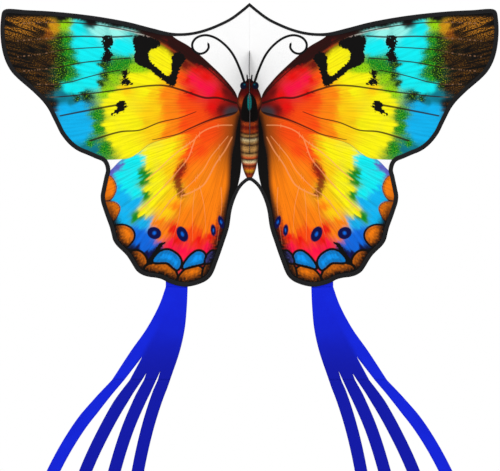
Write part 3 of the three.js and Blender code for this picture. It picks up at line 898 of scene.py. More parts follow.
# %% [markdown]
# ## Printed ripstop
# The front of the cloth is where the dye went on, and the back shows it through, paler. The material
# lays the print up in the same order as the printer: white cloth, hind wings, ribs, fore wings, veins,
# ink, body, feelers. Hair-fine streaks run out from the wing roots, and the weave is a low bump.

# %% The two faces of the sail
WHITE_CLOTH = dye(254, 254, 254)
THREADS_PER_METRE = 900


def weave(finish, flat, density=THREADS_PER_METRE):
    """The height of a plain weave: threads of the two directions take turns on top."""
    across = (finish.axis(flat, 0) * (density * math.pi)).maths("SINE")
    along = (finish.axis(flat, 1) * (density * math.pi)).maths("SINE")
    return across * along * 0.5 + abs(across) * 0.25 + abs(along) * 0.25


def streaks(finish, flat, root):
    """Fine hairs that run out from a wing's root, as a number round 0.5."""
    x = finish.axis(flat, 0) - root[0] * MM
    y = finish.axis(flat, 1) - root[1] * MM
    turn = y.maths("ARCTAN2", x)
    far = (x * x + y * y).maths("SQRT")
    return finish.grain(finish.vector(turn * 55, far * 9), 1.0, 4.0)


def line_mask(finish, name):
    """1 on the drawn lines, 0 off them."""
    return (finish.attribute(name + "_width") - abs(finish.attribute(name))).rise(-0.5, 0.5)


def printed_cloth(name, through):
    """The print on one face. through is 0 for the printed side and more for the side behind."""
    finish = Finish(name)
    flat = finish.flat_place()
    rough = finish.grain(flat, 420, 3.0) - 0.5
    hairs = streaks(finish, flat, FORE_ROOT)
    hind_hairs = streaks(finish, flat, HIND_ROOT)

    hind = finish.scaled(finish.attribute("hind_dye", "Color"), 0.8 + hind_hairs.rise(0.3, 0.62) * 0.26)
    hind = finish.mix(line_mask(finish, "rib") * 0.6, hind, DYES["blush"])
    fore = finish.scaled(finish.attribute("fore_dye", "Color"), 0.86 + hairs.rise(0.3, 0.62) * 0.18)
    scales = finish.grain(flat, 300, 2.0)
    mottle = finish.attribute("mottle")
    near_tip = finish.axis(flat, 0).rise(0.53, 0.57)
    scale_dye = finish.mix(near_tip, DYES["lime"], DYES["gold"])
    fore = finish.mix(scales.rise(0.56, 0.64) * mottle * 0.55, fore, scale_dye)
    fore = finish.mix((1 - scales).rise(0.54, 0.62) * mottle * 0.75, fore, DYES["black"])
    gilding = hairs.rise(0.44, 0.56) * scales.rise(0.42, 0.6) * finish.attribute("gilt")
    fore = finish.mix(gilding, fore, DYES["gilt"])
    dashes = (finish.grain(finish.vector(finish.axis(flat, 0) * 160, 0), 1.0, 1.0)).rise(0.42, 0.52)
    vein_dye = finish.mix(near_tip, DYES["bark"], DYES["fawn"])
    fore = finish.mix(line_mask(finish, "vein") * (1 - near_tip * dashes) * 0.88, fore, vein_dye)

    edge_noise = rough * 3
    lap = (finish.attribute("fore_edge") + rough).rise(-1.2, 2.0)
    colour = finish.mix(lap, fore, finish.mix(0.7, hind, DYES["umber"]))
    colour = finish.mix((finish.attribute("fore_edge") + rough).rise(0.5, 2.4), colour, hind)
    outside = finish.attribute("fore_edge").maths("MINIMUM", finish.attribute("hind_edge"))
    ink_mask = 1 - (finish.attribute("ink") + edge_noise).rise(-1.4, 1.4)
    colour = finish.mix(ink_mask, colour, finish.attribute("ink_dye", "Color"))
    colour = finish.mix(outside.rise(-0.7, 0.7), colour, WHITE_CLOTH)
    body = finish.scaled(finish.attribute("body_dye", "Color"), 0.1 + finish.grain(flat, 260, 2.0) * 1.8)
    colour = finish.mix(finish.attribute("body_edge").rise(-0.8, 0.8), body, colour)
    colour = finish.mix(line_mask(finish, "feeler"), colour, DYES["ink"])
    colour = finish.mix(through, colour, WHITE_CLOTH)
    height = weave(finish, flat)
    return finish.surface(colour, 0.55 + rough * 0.1, height, 0.00006, Specular_IOR_Level=0.1)


sail.data.materials.append(printed_cloth("printed_cloth", 0.0))
sail.data.materials.append(printed_cloth("printed_cloth_back", 0.38))
thicken(sail, 0.3, backing=1)
print("one wing's flat cloth:", round(flat_area(sail), 3), "square metres")
WING_BEND = ("spine", "right_wing", (0, SAIL_Y, 0), (8 * MM, SAIL_Y, 0))
sails = both_sides(sail, bend=WING_BEND)

# %% [markdown]
# ## A grid bent into place
# Tape, streamers, sleeves and pockets are all strips. Each starts as a flat grid, and `cloth_grid` lays
# its points in space row by row. Its UV map holds the size it was cut to, so every strip gets the same
# weave. A solid of revolution, such as a cap or an eyelet, is a profile spun round an axis instead.

# %% cloth_grid and lathe
def cloth_grid(rows, columns, size, lay):
    """A strip of rows x columns points. lay(i, j) gives the place of a point in space."""
    bm = bmesh.new()
    flat = bm.loops.layers.uv.new("flat")
    bmesh.ops.create_grid(bm, x_segments=columns - 1, y_segments=rows - 1, size=0.5)
    for face in bm.faces:
        for corner in face.loops:
            x, y, _ = corner.vert.co
            corner[flat].uv = ((x + 0.5) * size[0] * MM, (y + 0.5) * size[1] * MM)
    for vertex in bm.verts:
        i = round((vertex.co.y + 0.5) * (rows - 1))
        j = round((vertex.co.x + 0.5) * (columns - 1))
        vertex.co = lay(i, j)
    return bm


def lathe(bm, profile, steps, matrix):
    """Adds a ring or cap: a profile of (radius, height) spun round Z and then put in place."""
    made = [bm.verts.new((radius * MM, 0, height * MM)) for radius, height in profile]
    edges = [bm.edges.new(pair) for pair in zip(made, made[1:])]
    before = set(bm.verts) - set(made)
    bmesh.ops.spin(bm, geom=made + edges, cent=(0, 0, 0), axis=(0, 0, 1), angle=2 * math.pi, steps=steps,
                   use_merge=True)
    turned = [vertex for vertex in bm.verts if vertex not in before]
    bmesh.ops.remove_doubles(bm, verts=turned, dist=1e-6)
    turned = [vertex for vertex in bm.verts if vertex not in before]
    faces = list({face for vertex in turned for face in vertex.link_faces})
    bmesh.ops.recalc_face_normals(bm, faces=faces)
    bmesh.ops.transform(bm, matrix=matrix, verts=turned)


def laid(start, end):
    """A matrix that takes the Z axis from start towards end."""
    turn = (end - start).to_track_quat("Z", "Y")
    return Matrix.LocRotScale(start, turn, None)


# %% [markdown]
# ## Cloth, tape, thread, rod and vinyl
# The small finishes share one recipe: a dark or bright base that a noise varies a little, a roughness
# that follows the same noise, and a bump for the threads. Only the numbers differ. Woven pieces read
# their own flat map. Rods, caps and metal have no weave, and read Object coordinates.

# %% Woven and moulded finishes
def woven(name, low, high, density, depth, roughness, painted_shade=None, **constants):
    """Cloth or tape between two shades, with so many threads to the metre, and a darker colour for painted
    shade, which an attribute of the vertices mixes in.
    """
    finish = Finish(name)
    flat = finish.flat_place()
    patches = finish.grain(flat, 14, 4.0)
    fleck = finish.grain(flat, density * 0.6, 2.0)
    threads = weave(finish, flat, density)
    shade = patches * 0.5 + fleck * 0.3 + threads * 0.3
    base = finish.mix(shade.rise(0.2, 0.9), low, high)
    # painted shade: where the attribute is 1, the cloth is painted in the given darker colour
    if painted_shade:
        base = finish.mix(finish.attribute("painted_shade"), base, painted_shade)
    return finish.surface(base, roughness + fleck * 0.12, threads + fleck * 0.4, depth, **constants)


def moulded(name, low, high, scale, depth, roughness, spread, **constants):
    """Plastic, rod or metal between two shades, with a grain of the given scale."""
    finish = Finish(name)
    here = finish.node("ShaderNodeTexCoord", output="Object")
    cloud = finish.grain(here, scale, 4.0)
    fine = finish.grain(here, scale * 9, 2.0)
    base = finish.mix(cloud.rise(0.3, 0.7), low, high)
    rough = roughness + (fine - 0.5) * spread
    return finish.surface(base, rough, fine, depth, **constants)


edge_tape = woven("edge_tape", dye(12, 12, 14), dye(30, 30, 33), 700, 0.0001, 0.6,
                  Specular_IOR_Level=0.2)
sleeve_cloth = woven("sleeve_cloth", dye(26, 26, 29), dye(46, 46, 50), 1100, 0.00008, 0.66,
                     Specular_IOR_Level=0.25)
keel_cloth = woven("keel_cloth", dye(84, 84, 87), dye(110, 110, 113), 1100, 0.00006, 0.6,
                   Specular_IOR_Level=0.2)
thread = moulded("thread", dye(48, 48, 50), dye(78, 78, 82), 900, 0.00003, 0.55, 0.2)
fibreglass = moulded("fibreglass", dye(24, 24, 27), dye(40, 40, 44), 160, 0.00002, 0.3, 0.15,
                     Coat_Weight=0.3)
vinyl = moulded("vinyl", dye(30, 30, 34), dye(46, 46, 50), 90, 0.00004, 0.42, 0.12)
eyelet_metal = moulded("eyelet_metal", dye(176, 180, 184), dye(206, 208, 212), 220, 0.00001, 0.24, 0.12,
                       Metallic=1.0)

# %% [markdown]
# ## The bound edge
# The sail's edge is wrapped in a black tape, folded over the cloth and sewn through. 12 mm of it shows,
# and less along the peak and in the notch under the body. Its section is a U that is slightly domed,
# where the tape bulges over the edge. Each column of the grid is the outline moved inwards by the
# column's width, so the tape follows every bend.

# %% Bind the sail
def folded(front):
    """A folded tape's whole section, from the half in front of the fold."""
    return front + [(0, 0)] + [(width, -back) for width, back in front[::-1]]


TAPE_SECTION = folded([(12, -0.55), (11.3, -0.85), (9, -1.05), (6, -1.2), (3, -1.15), (1, -0.95),
                       (0.2, -0.5)])


def folded_tape(name, edge, section, lay, finishes, replaces, inset_by=inset, share=1.0):
    """Tape folded over an edge. A section gives how far in and how far behind each column lies."""
    routes = {width: edge + (inset_by(edge, width) - edge) * share if width else edge
              for width, _ in section}
    columns = [(routes[width], back) for width, back in section]
    bm = cloth_grid(len(edge), len(columns), (2 * section[0][0], lengths_along(edge)[-1]),
                    lambda i, j: lay(*columns[j][0][i], columns[j][1]))
    bmesh.ops.recalc_face_normals(bm, faces=bm.faces)
    return new_piece(name, bm, finishes, replaces)


at_peak = (1 - soft(edge[:, 0], 190, 260)) * (edge[:, 1] < 120)
at_notch = (1 - soft(edge[:, 0], 20, 70)) * (edge[:, 1] > 400)
tape_share = (1 - 0.38 * at_peak - 0.25 * at_notch)[:, None]
binding = folded_tape("right_bound_edge", edge, TAPE_SECTION, on_sail, [edge_tape],
                      ["right_edge_binding"], share=tape_share)
thicken(binding, 0.4, offset=-1)
print("binding of one wing:", len(binding.data.polygons), "faces")
both_sides(binding, bend=WING_BEND)

# %% [markdown]
# ## Stitches
# A lockstitch shows as a row of short bumps of thread, a little sunk at both ends. Each stitch is a
# ball of few faces, stretched along the seam. All the stitches of one seam are one piece.

# %% A row of stitches
STITCH, STITCH_GAP, THREAD = 3.1, 1.1, 0.42      # length, gap and half thickness


def sew(bm, spots, outward):
    """Adds a stitch for each point of a line in space. outward lifts the thread off the cloth."""
    for start, end in zip(spots, spots[1:]):
        along = (end - start).normalized()
        turn = Matrix((along, outward.cross(along), outward)).transposed().to_4x4()
        shape = Matrix.Diagonal((STITCH / 2 * MM, THREAD * MM, THREAD * 0.7 * MM, 1))
        bmesh.ops.create_icosphere(bm, subdivisions=1, radius=1,
                                   matrix=Matrix.Translation((start + end) / 2) @ turn @ shape)


FRONT, BEHIND = Vector((0, -1, 0)), Vector((0, 1, 0))
bm = bmesh.new()
seam = curve(edge + (inset(edge, 10.2) - edge) * tape_share, STITCH + STITCH_GAP)
sew(bm, [on_sail(*spot, -1.1) for spot in seam], FRONT)
sew(bm, [on_sail(*spot, 1.1) for spot in seam], BEHIND)
stitches = new_piece("right_binding_stitches", bm, [thread])
print("stitches of one wing's binding:", 2 * (len(seam) - 1))
both_sides(stitches, bend=WING_BEND)

# %% [markdown]
# ## Tails
# Each tail is one piece of thin blue cloth, sewn to a tab behind the hind wing and slit from below into
# four streamers. The head is cut in four lanes that share their edges down to where each slit starts,
# and a streamer carries on from each lane. Every streamer has its own slow wave in the wind.

# %% The tails' cloth
# the tails' cloth, with a darker blue as painted shade on the inner lanes and streamers
tail_cloth = woven("tail_cloth", dye(6, 28, 205), dye(14, 46, 240), 1200, 0.00005, 0.5,
                   painted_shade=dye(3, 22, 168), Specular_IOR_Level=0.12)
TAIL_BACK = 1.6                       # the tails hang this far behind the sail
TAIL_CLOTH = 0.25                     # and are this thick
TAIL_BEND = ("right_wing", "right_tail", (0, SAIL_Y, -0.530), (0, SAIL_Y, -0.560))
STRIP_BEND = ((0, SAIL_Y, -0.792), (0, SAIL_Y, -0.850))
TAIL_ROOT, SLIT_LINE, TAIL_END = 799.7, 1062, 1750
STRIP_WIDTH, STRIP_COLUMNS = 35, 7
HEAD_INNER = [(174, 800), (176, 850), (182, 916), (196, 980), (223.5, 1062)]
HEAD_OUTER = [(236, 800), (254, 850), (289, 916), (334, 980), (387.5, 1062)]
# each slit is its place across the head's top, the point where it starts, and its two edges where the
# streamers begin
SLITS = [(189.5, (251.6, 1038), (258.5, 262.5)), (205, (291, 1044), (297.5, 302.5)),
         (220.5, (303, 998), (337.5, 352.5))]
# each streamer's centre line, from the outermost to the innermost
STRIP_LINES = [
    [(370, 1062), (418, 1116), (484, 1200), (548, 1310), (607, 1450), (645, 1600), (668, 1750)],
    [(320, 1062), (358, 1116), (406, 1200), (458, 1310), (507, 1450), (541, 1600), (563, 1750)],
    [(280, 1062), (307, 1116), (343, 1200), (378, 1310), (412, 1450), (436, 1600), (452, 1750)],
    [(241, 1062), (262, 1116), (288, 1200), (313, 1310), (334, 1450), (348, 1600), (356, 1750)],
]


def across_at(route, downs):
    """How far out a line lies at each height."""
    fine = curve(route, 4)
    return np.interp(downs, fine[:, 1], fine[:, 0])


def wave(down, share, phase):
    """How far a streamer swings back, and how it cups, in millimetres, down its length."""
    loose = max(0, (down - SLIT_LINE) / (TAIL_END - SLIT_LINE))
    swing = 5.5 * math.sin(7.5 * loose + phase) * min(1, 3 * loose)
    cup = 2.2 * math.cos(math.pi * (share - 0.5)) * math.sin(11 * loose + 2 * phase) * min(1, 3 * loose)
    return swing + cup


# %% One streamer
def streamer(index, line):
    """The strip's edges lie STRIP_WIDTH apart, square to its centre line, below the crowded slit line."""
    downs = even(SLIT_LINE, TAIL_END, 6)
    middle = across_at(line, downs)
    slope = np.gradient(middle, downs)
    square = STRIP_WIDTH * np.sqrt(1 + slope ** 2)
    wide = np.minimum(square, STRIP_WIDTH + 0.105 * (downs - SLIT_LINE))

    def lay(i, j):
        share = j / (STRIP_COLUMNS - 1)
        return place(middle[i] + (share - 0.5) * wide[i], downs[i],
                     TAIL_BACK + wave(downs[i], share, 1.7 * index))

    length = np.sum(np.hypot(np.diff(middle), np.diff(downs)))
    bm = cloth_grid(len(downs), STRIP_COLUMNS, (STRIP_WIDTH, length), lay)
    name = f"right_streamer_{index + 1}"
    strip = new_piece(name, bm, [tail_cloth], [f"right_tail_strip_{index + 1}"])
    # painted shade: the three inner streamers are painted in the darker blue, the outer one is not
    give(strip.data, "painted_shade", np.full(len(strip.data.vertices), float(index > 0)))
    return thicken(strip, TAIL_CLOTH), length


for index, line in enumerate(STRIP_LINES):
    strip, length = streamer(index, line)
    bend = ("right_tail", f"right_strip_{index + 1}", *STRIP_BEND)
    for piece in both_sides(strip, bend=bend):
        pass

# %% The head of a tail, and the tab it is sewn to
def tail_head():
    """Four lanes of cloth from the sail's edge down to the slit line."""
    downs = even(TAIL_ROOT, SLIT_LINE, 6)
    inner, outer = across_at(HEAD_INNER, downs), across_at(HEAD_OUTER, downs)
    borders = [(inner, inner)]
    for top, (apex, start), sides in SLITS:
        heights = (TAIL_ROOT, start, SLIT_LINE)
        borders.append([np.interp(downs, heights, (top, apex, side)) for side in sides])
    borders.append((outer, outer))
    whole = bmesh.new()
    flat_mesh = bpy.data.meshes.new("lane")
    for (_, near), (far, _) in zip(borders, borders[1:]):
        bm = cloth_grid(len(downs), STRIP_COLUMNS, (STRIP_WIDTH, SLIT_LINE - TAIL_ROOT), lambda i, j: place(
            near[i] + (far[i] - near[i]) * j / (STRIP_COLUMNS - 1), downs[i], TAIL_BACK))
        bm.to_mesh(flat_mesh)
        bm.free()
        whole.from_mesh(flat_mesh)
    bpy.data.meshes.remove(flat_mesh)
    bmesh.ops.remove_doubles(whole, verts=whole.verts, dist=1e-5)
    flat = whole.loops.layers.uv["flat"]
    for face in whole.faces:
        for corner in face.loops:
            corner[flat].uv = (corner.vert.co.x, -corner.vert.co.z)
    return whole


head = new_piece("right_tail_top", tail_head(), [tail_cloth], ["right_tail_head"])
outs, downs = np.array([(v.co.x / MM, PEAK_Z / MM - v.co.z / MM) for v in head.data.vertices]).T
outer = across_at(HEAD_OUTER, downs)
lane = (outer - outs) / (outer - across_at(HEAD_INNER, downs))     # 0 at the outer edge, 1 at the inner
# painted shade: the head is painted darker towards its inner lanes and towards the slit line
give(head.data, "painted_shade", soft(lane, 0.2, 0.36) * soft(downs, 850, 1050))
thicken(head, TAIL_CLOTH)
heads = both_sides(head, bend=TAIL_BEND)

TAB_TOP, TAB_INNER, TAB_WIDTH = 768, 174, 62
bm = cloth_grid(8, 14, (TAB_WIDTH, TAIL_ROOT - TAB_TOP), lambda i, j: place(
    TAB_INNER + TAB_WIDTH * j / 13, TAB_TOP + (TAIL_ROOT - TAB_TOP) * i / 7, TAIL_BACK))
tab = thicken(new_piece("right_sewn_tab", bm, [tail_cloth], ["right_tail_tab"]), TAIL_CLOTH)
both_sides(tab, body="right_wing")

# %% [markdown]
# ## Rods and their end caps
# The frame is thin fibreglass rod, with a soft vinyl cap pushed on each end so that it can't cut its
# pocket. A straight rod is a cone of equal radii with its ends bevelled. The leading rod is bent along
# the wing, so its round section is extruded from point to point down its route.

# %% Rods
ROD_SIDES = 24
SPINE_RADIUS, SPAR_RADIUS, LEADING_RADIUS, BATTEN_RADIUS = 2, 2, 1.5, 1.25


def level_edges(bm):
    """The edges round the two ends of an upright rod or block."""
    return [side for side in bm.edges if abs(side.verts[0].co.z - side.verts[1].co.z) < 1e-6]


def straight_rod(name, start, end, radius, replaces):
    bm = bmesh.new()
    length = (end - start).length
    bmesh.ops.create_cone(bm, cap_ends=True, segments=ROD_SIDES, radius1=radius * MM, radius2=radius * MM,
                          depth=length, matrix=Matrix.Translation((0, 0, length / 2)))
    bmesh.ops.bevel(bm, geom=level_edges(bm), offset=0.3 * MM, affect="EDGES", segments=2, profile=0.5,
                    material=-1)
    bm.transform(laid(start, end))
    return new_piece(name, bm, [fibreglass], [replaces])


def frames_along(route):
    """A matrix at each point of a route in the sail's plane: X across it, Y behind, Z along it."""
    frames = []
    for i, point in enumerate(route):
        forward = (route[min(i + 1, len(route) - 1)] - route[max(i - 1, 0)]).normalized()
        across = BEHIND.cross(forward).normalized()
        turn = Matrix((across, BEHIND, forward)).transposed().to_4x4()
        frames.append(Matrix.Translation(point) @ turn)
    return frames


def bent_rod(name, route, radius, replaces):
    bm = bmesh.new()
    frames = frames_along(route)
    made = bmesh.ops.create_circle(bm, cap_ends=False, segments=ROD_SIDES, radius=radius * MM,
                                   matrix=frames[0])
    ring = list({side for vertex in made["verts"] for side in vertex.link_edges})
    first_ring = list(ring)
    for before, after in zip(frames, frames[1:]):
        grown = bmesh.ops.extrude_edge_only(bm, edges=ring)["geom"]
        ring = [item for item in grown if isinstance(item, bmesh.types.BMEdge)]
        new = [item for item in grown if isinstance(item, bmesh.types.BMVert)]
        bmesh.ops.transform(bm, matrix=after @ before.inverted(), verts=new)
    for rim in (first_ring, ring):
        bmesh.ops.edgeloop_fill(bm, edges=rim)
    bmesh.ops.recalc_face_normals(bm, faces=bm.faces)
    return new_piece(name, bm, [fibreglass], [replaces])


def end_cap(name, before, end, radius, replaces):
    """A vinyl cap whose mouth has a rolled lip and whose closed end is rounded."""
    inner, outer = radius + 0.25, radius + 1.0
    profile = [(0, 0.3), (inner, 0.3), (inner, -14), (outer - 0.2, -14.2), (outer + 0.15, -13.8),
               (outer + 0.15, -12.9), (outer, -12.5), (outer, 0.5), (outer - 0.25, 1.2), (outer - 0.8, 1.6),
               (0, 1.7)]
    bm = bmesh.new()
    lathe(bm, profile, ROD_SIDES, laid(end, end + (end - before)))
    return new_piece(name, bm, [vinyl], [replaces])


# %% Where the rods run
SPINE_TOP, SPINE_END = (0, 24), (0, 482)
SPAR_DOWN = 324
SPAR_START, SPAR_TIP = (20, SPAR_DOWN), (527, SPAR_DOWN)
BATTEN_TOP, BATTEN_TIP = (38, 364), (196, 752)
LEADING_ROUTE = [(676, 44), (600, 46), (500, 56), (400, 73), (300, 100), (220, 133), (150, 178), (96, 232)]


def on_rod(point):
    return place(*point, ROD_BACK)


spine_rod = straight_rod("spine_tube", on_rod(SPINE_END), on_rod(SPINE_TOP), SPINE_RADIUS, "spine_rod")
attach(spine_rod, "spine")
for name, before, end in (("top", SPINE_END, SPINE_TOP), ("bottom", SPINE_TOP, SPINE_END)):
    cap = end_cap(f"spine_{name}_vinyl_cap", on_rod(before), on_rod(end), SPINE_RADIUS, f"spine_cap_{name}")
    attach(cap, "spine")

leading = [on_rod(point) for point in curve(LEADING_ROUTE, 8)]
leading_rod = bent_rod("right_bent_leading_rod", leading, LEADING_RADIUS, "right_leading_rod")
both_sides(leading_rod, "right_wing")
for name, start, end, radius, node in (
        ("spar", SPAR_START, SPAR_TIP, SPAR_RADIUS, "cross_spar"),
        ("batten", BATTEN_TOP, BATTEN_TIP, BATTEN_RADIUS, "hind_batten")):
    rod = straight_rod(f"right_{name}", on_rod(start), on_rod(end), radius, f"right_{node}")
    both_sides(rod, "right_wing")
for name, before, end, radius, node in (
        ("leading", leading[1], leading[0], LEADING_RADIUS, "leading_cap"),
        ("spar", on_rod(SPAR_START), on_rod(SPAR_TIP), SPAR_RADIUS, "cross_spar_cap"),
        ("batten", on_rod(BATTEN_TOP), on_rod(BATTEN_TIP), BATTEN_RADIUS, "batten_cap")):
    cap = end_cap(f"right_{name}_vinyl_cap", before, end, radius, f"right_{node}")
    both_sides(cap, "right_wing")
print("rods and caps are in place")

# %% [markdown]
# ## Sleeves and pockets
# The rods are held to the cloth by tunnels sewn behind it: a long sleeve, and at each rod's end a short
# pocket with a closed end. Both have the same section: flat seam allowances on either side, a dome over
# the rod between them. A pocket is a sleeve whose dome slopes down to the cloth at one end.

# %% Tunnels of cloth over the rods
def tunnel_section(room):
    """Half of the section over a rod: how far across and how far behind, from the edge to the top."""
    top = ROD_BACK + room + 0.5
    half = [(room + 9, 0.55), (room + 5, 0.6), (room + 3, 1.1), (room + 1.6, 2.8), (room + 0.7, 5.2),
            (0.72 * room + 0.3, top - 0.9), (0, top)]
    side = curve(half, 1.2)
    return np.vstack([side, side[-2::-1] * (-1, 1)])


def tunnel(name, route, room, replaces, closed=0.0):
    """A sleeve along a route of [out, down]. Its last 'closed' millimetres slope down to the cloth."""
    section = tunnel_section(room)
    route = np.array(route)
    lengths = lengths_along(route)
    across = across_route(route)

    def lay(i, j):
        offset, behind = section[j]
        if closed:
            left = (lengths[-1] - lengths[i]) / closed
            slope = soft(np.array(left), 0, 1)
            behind = 0.6 + (behind - 0.6) * slope
        out, down = route[i] + across[i] * offset
        pull = min(1, max(0, 1 - (behind - 0.6) / ROD_BACK))
        pucker = 0.25 * noise.noise(Vector((out / 5, down / 5, 9)))
        return place(out, down, behind + pucker * (1 - pull) - pull * fill(out, down))

    bm = cloth_grid(len(route), len(section), (lengths_along(section)[-1], lengths[-1]), lay)
    bmesh.ops.recalc_face_normals(bm, faces=bm.faces)
    if sum(face.normal.y for face in bm.faces) < 0:
        bmesh.ops.reverse_faces(bm, faces=bm.faces)
    return thicken(new_piece(name, bm, [sleeve_cloth], replaces), 0.35, offset=-1)


def towards(a, b, start, end, step=1.5):
    """Points on the straight line from a through b, from 'start' to 'end' millimetres past b."""
    a, b = np.array(a, float), np.array(b, float)
    ahead = (b - a) / np.linalg.norm(b - a)
    return [b + ahead * s for s in even(start, end, step)]


def pocket(name, before, end, room, length, node, shut=2.6):
    route = towards(before, end, shut - length, shut + 6)
    return tunnel(name, route, room, [node], closed=7)


CAP_ROOM = {"spine": 3.3, "leading": 2.8, "batten": 2.5}
for name, before, end, node in (("spine_top_pocket", SPINE_END, SPINE_TOP, "nose_pocket"),
                                ("spine_bottom_pocket", SPINE_TOP, SPINE_END, "spine_end_pocket")):
    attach(pocket(name, before, end, CAP_ROOM["spine"], 26, node), "spine")
for name, start, end in (("upper", 54, 300), ("lower", 348, 454)):
    route = [(0, down) for down in even(start, end, 3)]
    sleeve = tunnel(f"spine_{name}_tunnel", route, 2.8, [f"spine_sleeve_{name}"])
    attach(sleeve, "spine")

leading_route = curve(LEADING_ROUTE, 4)
inside = leading_route[round(0.05 * len(leading_route)):round(0.94 * len(leading_route))]
both_sides(tunnel("right_leading_tunnel", inside, 2.3, ["right_leading_sleeve"]),
           "right_wing")
POCKETS = (
    ("wing_tip", leading_route[2], leading_route[0], CAP_ROOM["leading"], 24, "wing_tip_pocket"),
    ("leading_root", leading_route[-3], leading_route[-1], 1.9, 20, "leading_root_pocket"),
    ("spar", SPAR_START, SPAR_TIP, CAP_ROOM["spine"], 26, "cross_spar_pocket"),
    ("batten_top", BATTEN_TIP, BATTEN_TOP, 1.7, 20, "batten_root_pocket"),
    ("batten_tip", BATTEN_TOP, BATTEN_TIP, CAP_ROOM["batten"], 24, "batten_end_pocket"),
)
for name, before, end, room, length, node in POCKETS:
    both_sides(pocket(f"right_{name}_patch", before, end, room, length, f"right_{node}"),
               "right_wing")
print("sleeves and pockets:", 4 + 2 * (1 + len(POCKETS)))

# %% [markdown]
# ## The seam tape, and the stitching behind
# The two wings meet at the centre seam, which a tape covers behind. Everything sewn behind the sail
# shows a row of stitches along its edges.

# %% Seam tape
SEAM_HALF, SEAM_TOP, SEAM_END = 4.4, 4, 497
downs = even(SEAM_TOP, SEAM_END, 5)
bm = cloth_grid(len(downs), 5, (2 * SEAM_HALF, SEAM_END - SEAM_TOP), lambda i, j: place(
    (j / 2 - 1) * SEAM_HALF, downs[i], 0.45 + 0.12 * (j == 2)))
seam_tape = thicken(new_piece("back_seam_tape", bm, [edge_tape], ["centre_seam_tape"]), 0.25)
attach(seam_tape, "spine")

# %% Stitches behind the sail
# each row of stitches beside the spine: how far out, how far behind, and from where to where it runs
SPINE_ROWS = [(3.4, 0.7, 12, 308), (3.4, 0.7, 340, 494), (9.5, 0.95, 54, 300), (9.5, 0.95, 348, 454)]

def beside(route, offset):
    """A line beside a route, so many millimetres across it."""
    route = np.array(route, float)
    return route + offset * across_route(route)


def sew_behind(bm, route, back=0.95):
    sew(bm, [on_sail(*spot, back) for spot in curve(route, STITCH + STITCH_GAP)], BEHIND)


bm = bmesh.new()
for sign in (-1, 1):
    for out, back, start, end in SPINE_ROWS:
        sew_behind(bm, [(sign * out, start), (sign * out, (start + end) / 2), (sign * out, end)], back)
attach(new_piece("spine_stitches", bm, [thread]), "spine")

bm = bmesh.new()
for sign in (-1, 1):
    sew_behind(bm, beside(inside, sign * 9.3))
    for name, before, end, room, length, node in POCKETS:
        middle = towards(before, end, 3 - length, 7, 8)
        sew_behind(bm, beside(middle, sign * (room + 7)))
for down in (TAB_TOP + 3, TAB_TOP + 24):
    spots = even(TAB_INNER + 3, TAB_INNER + TAB_WIDTH - 3, STITCH + STITCH_GAP)
    sew(bm, [place(out, down, TAIL_BACK + 0.35) for out in spots], BEHIND)
both_sides(new_piece("right_sleeve_stitches", bm, [thread]), "right_wing")

# %% [markdown]
# ## The hub
# The cross spars plug into a soft moulded hub on the spine, whose two arms bend as the wings fold. Its
# section is a ring of points round the spine's bore, pushed out to a rounded block and drawn up. The
# arms are spun tubes with a bead at the mouth.

# %% The hub and its arms
HUB_WIDE, HUB_DEEP, HUB_TALL = 6.5, 3.8, 30     # half width, half depth and height
hub_centre = place(0, SPAR_DOWN, 6.4)
bm = bmesh.new()
rings = []
for radius in (2.3, 1.0):
    made = bmesh.ops.create_circle(bm, cap_ends=False, segments=32, radius=radius)
    rings.append(made["verts"])
for vertex in rings[1]:
    turn = math.atan2(vertex.co.y, vertex.co.x)
    square = (abs(math.cos(turn)) ** 5 + abs(math.sin(turn)) ** 5) ** (-1 / 5)
    vertex.co = (HUB_WIDE * square * math.cos(turn), HUB_DEEP * square * math.sin(turn), 0)
bmesh.ops.bridge_loops(bm, edges=bm.edges[:])
grown = bmesh.ops.extrude_face_region(bm, geom=bm.faces[:])["geom"]
top = [item for item in grown if isinstance(item, bmesh.types.BMVert)]
bmesh.ops.translate(bm, verts=top, vec=(0, 0, HUB_TALL))
rims = [side for side in level_edges(bm) if len(side.link_faces) == 2 and side.calc_face_angle(0) > 1]
bmesh.ops.bevel(bm, geom=rims, offset=0.5, affect="EDGES", segments=3, profile=0.5, material=-1)
bmesh.ops.recalc_face_normals(bm, faces=bm.faces)
lowered = Matrix.Translation((0, 0, -HUB_TALL / 2))
bm.transform(Matrix.Translation(hub_centre) @ Matrix.Scale(MM, 4) @ lowered)
COLLAR = [(6.0, -1.2), (6.9, -0.8), (6.9, 0.8), (6.0, 1.2), (6.0, -1.2)]
for height in (-11.5, 11.5):
    ring = Matrix.Translation(hub_centre + Vector((0, 0, height * MM))) @ Matrix.Diagonal((1, 0.62, 1, 1))
    lathe(bm, COLLAR, 32, ring)
hub = new_piece("moulded_hub", bm, [vinyl], ["cross_hub"])
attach(hub, "spine")

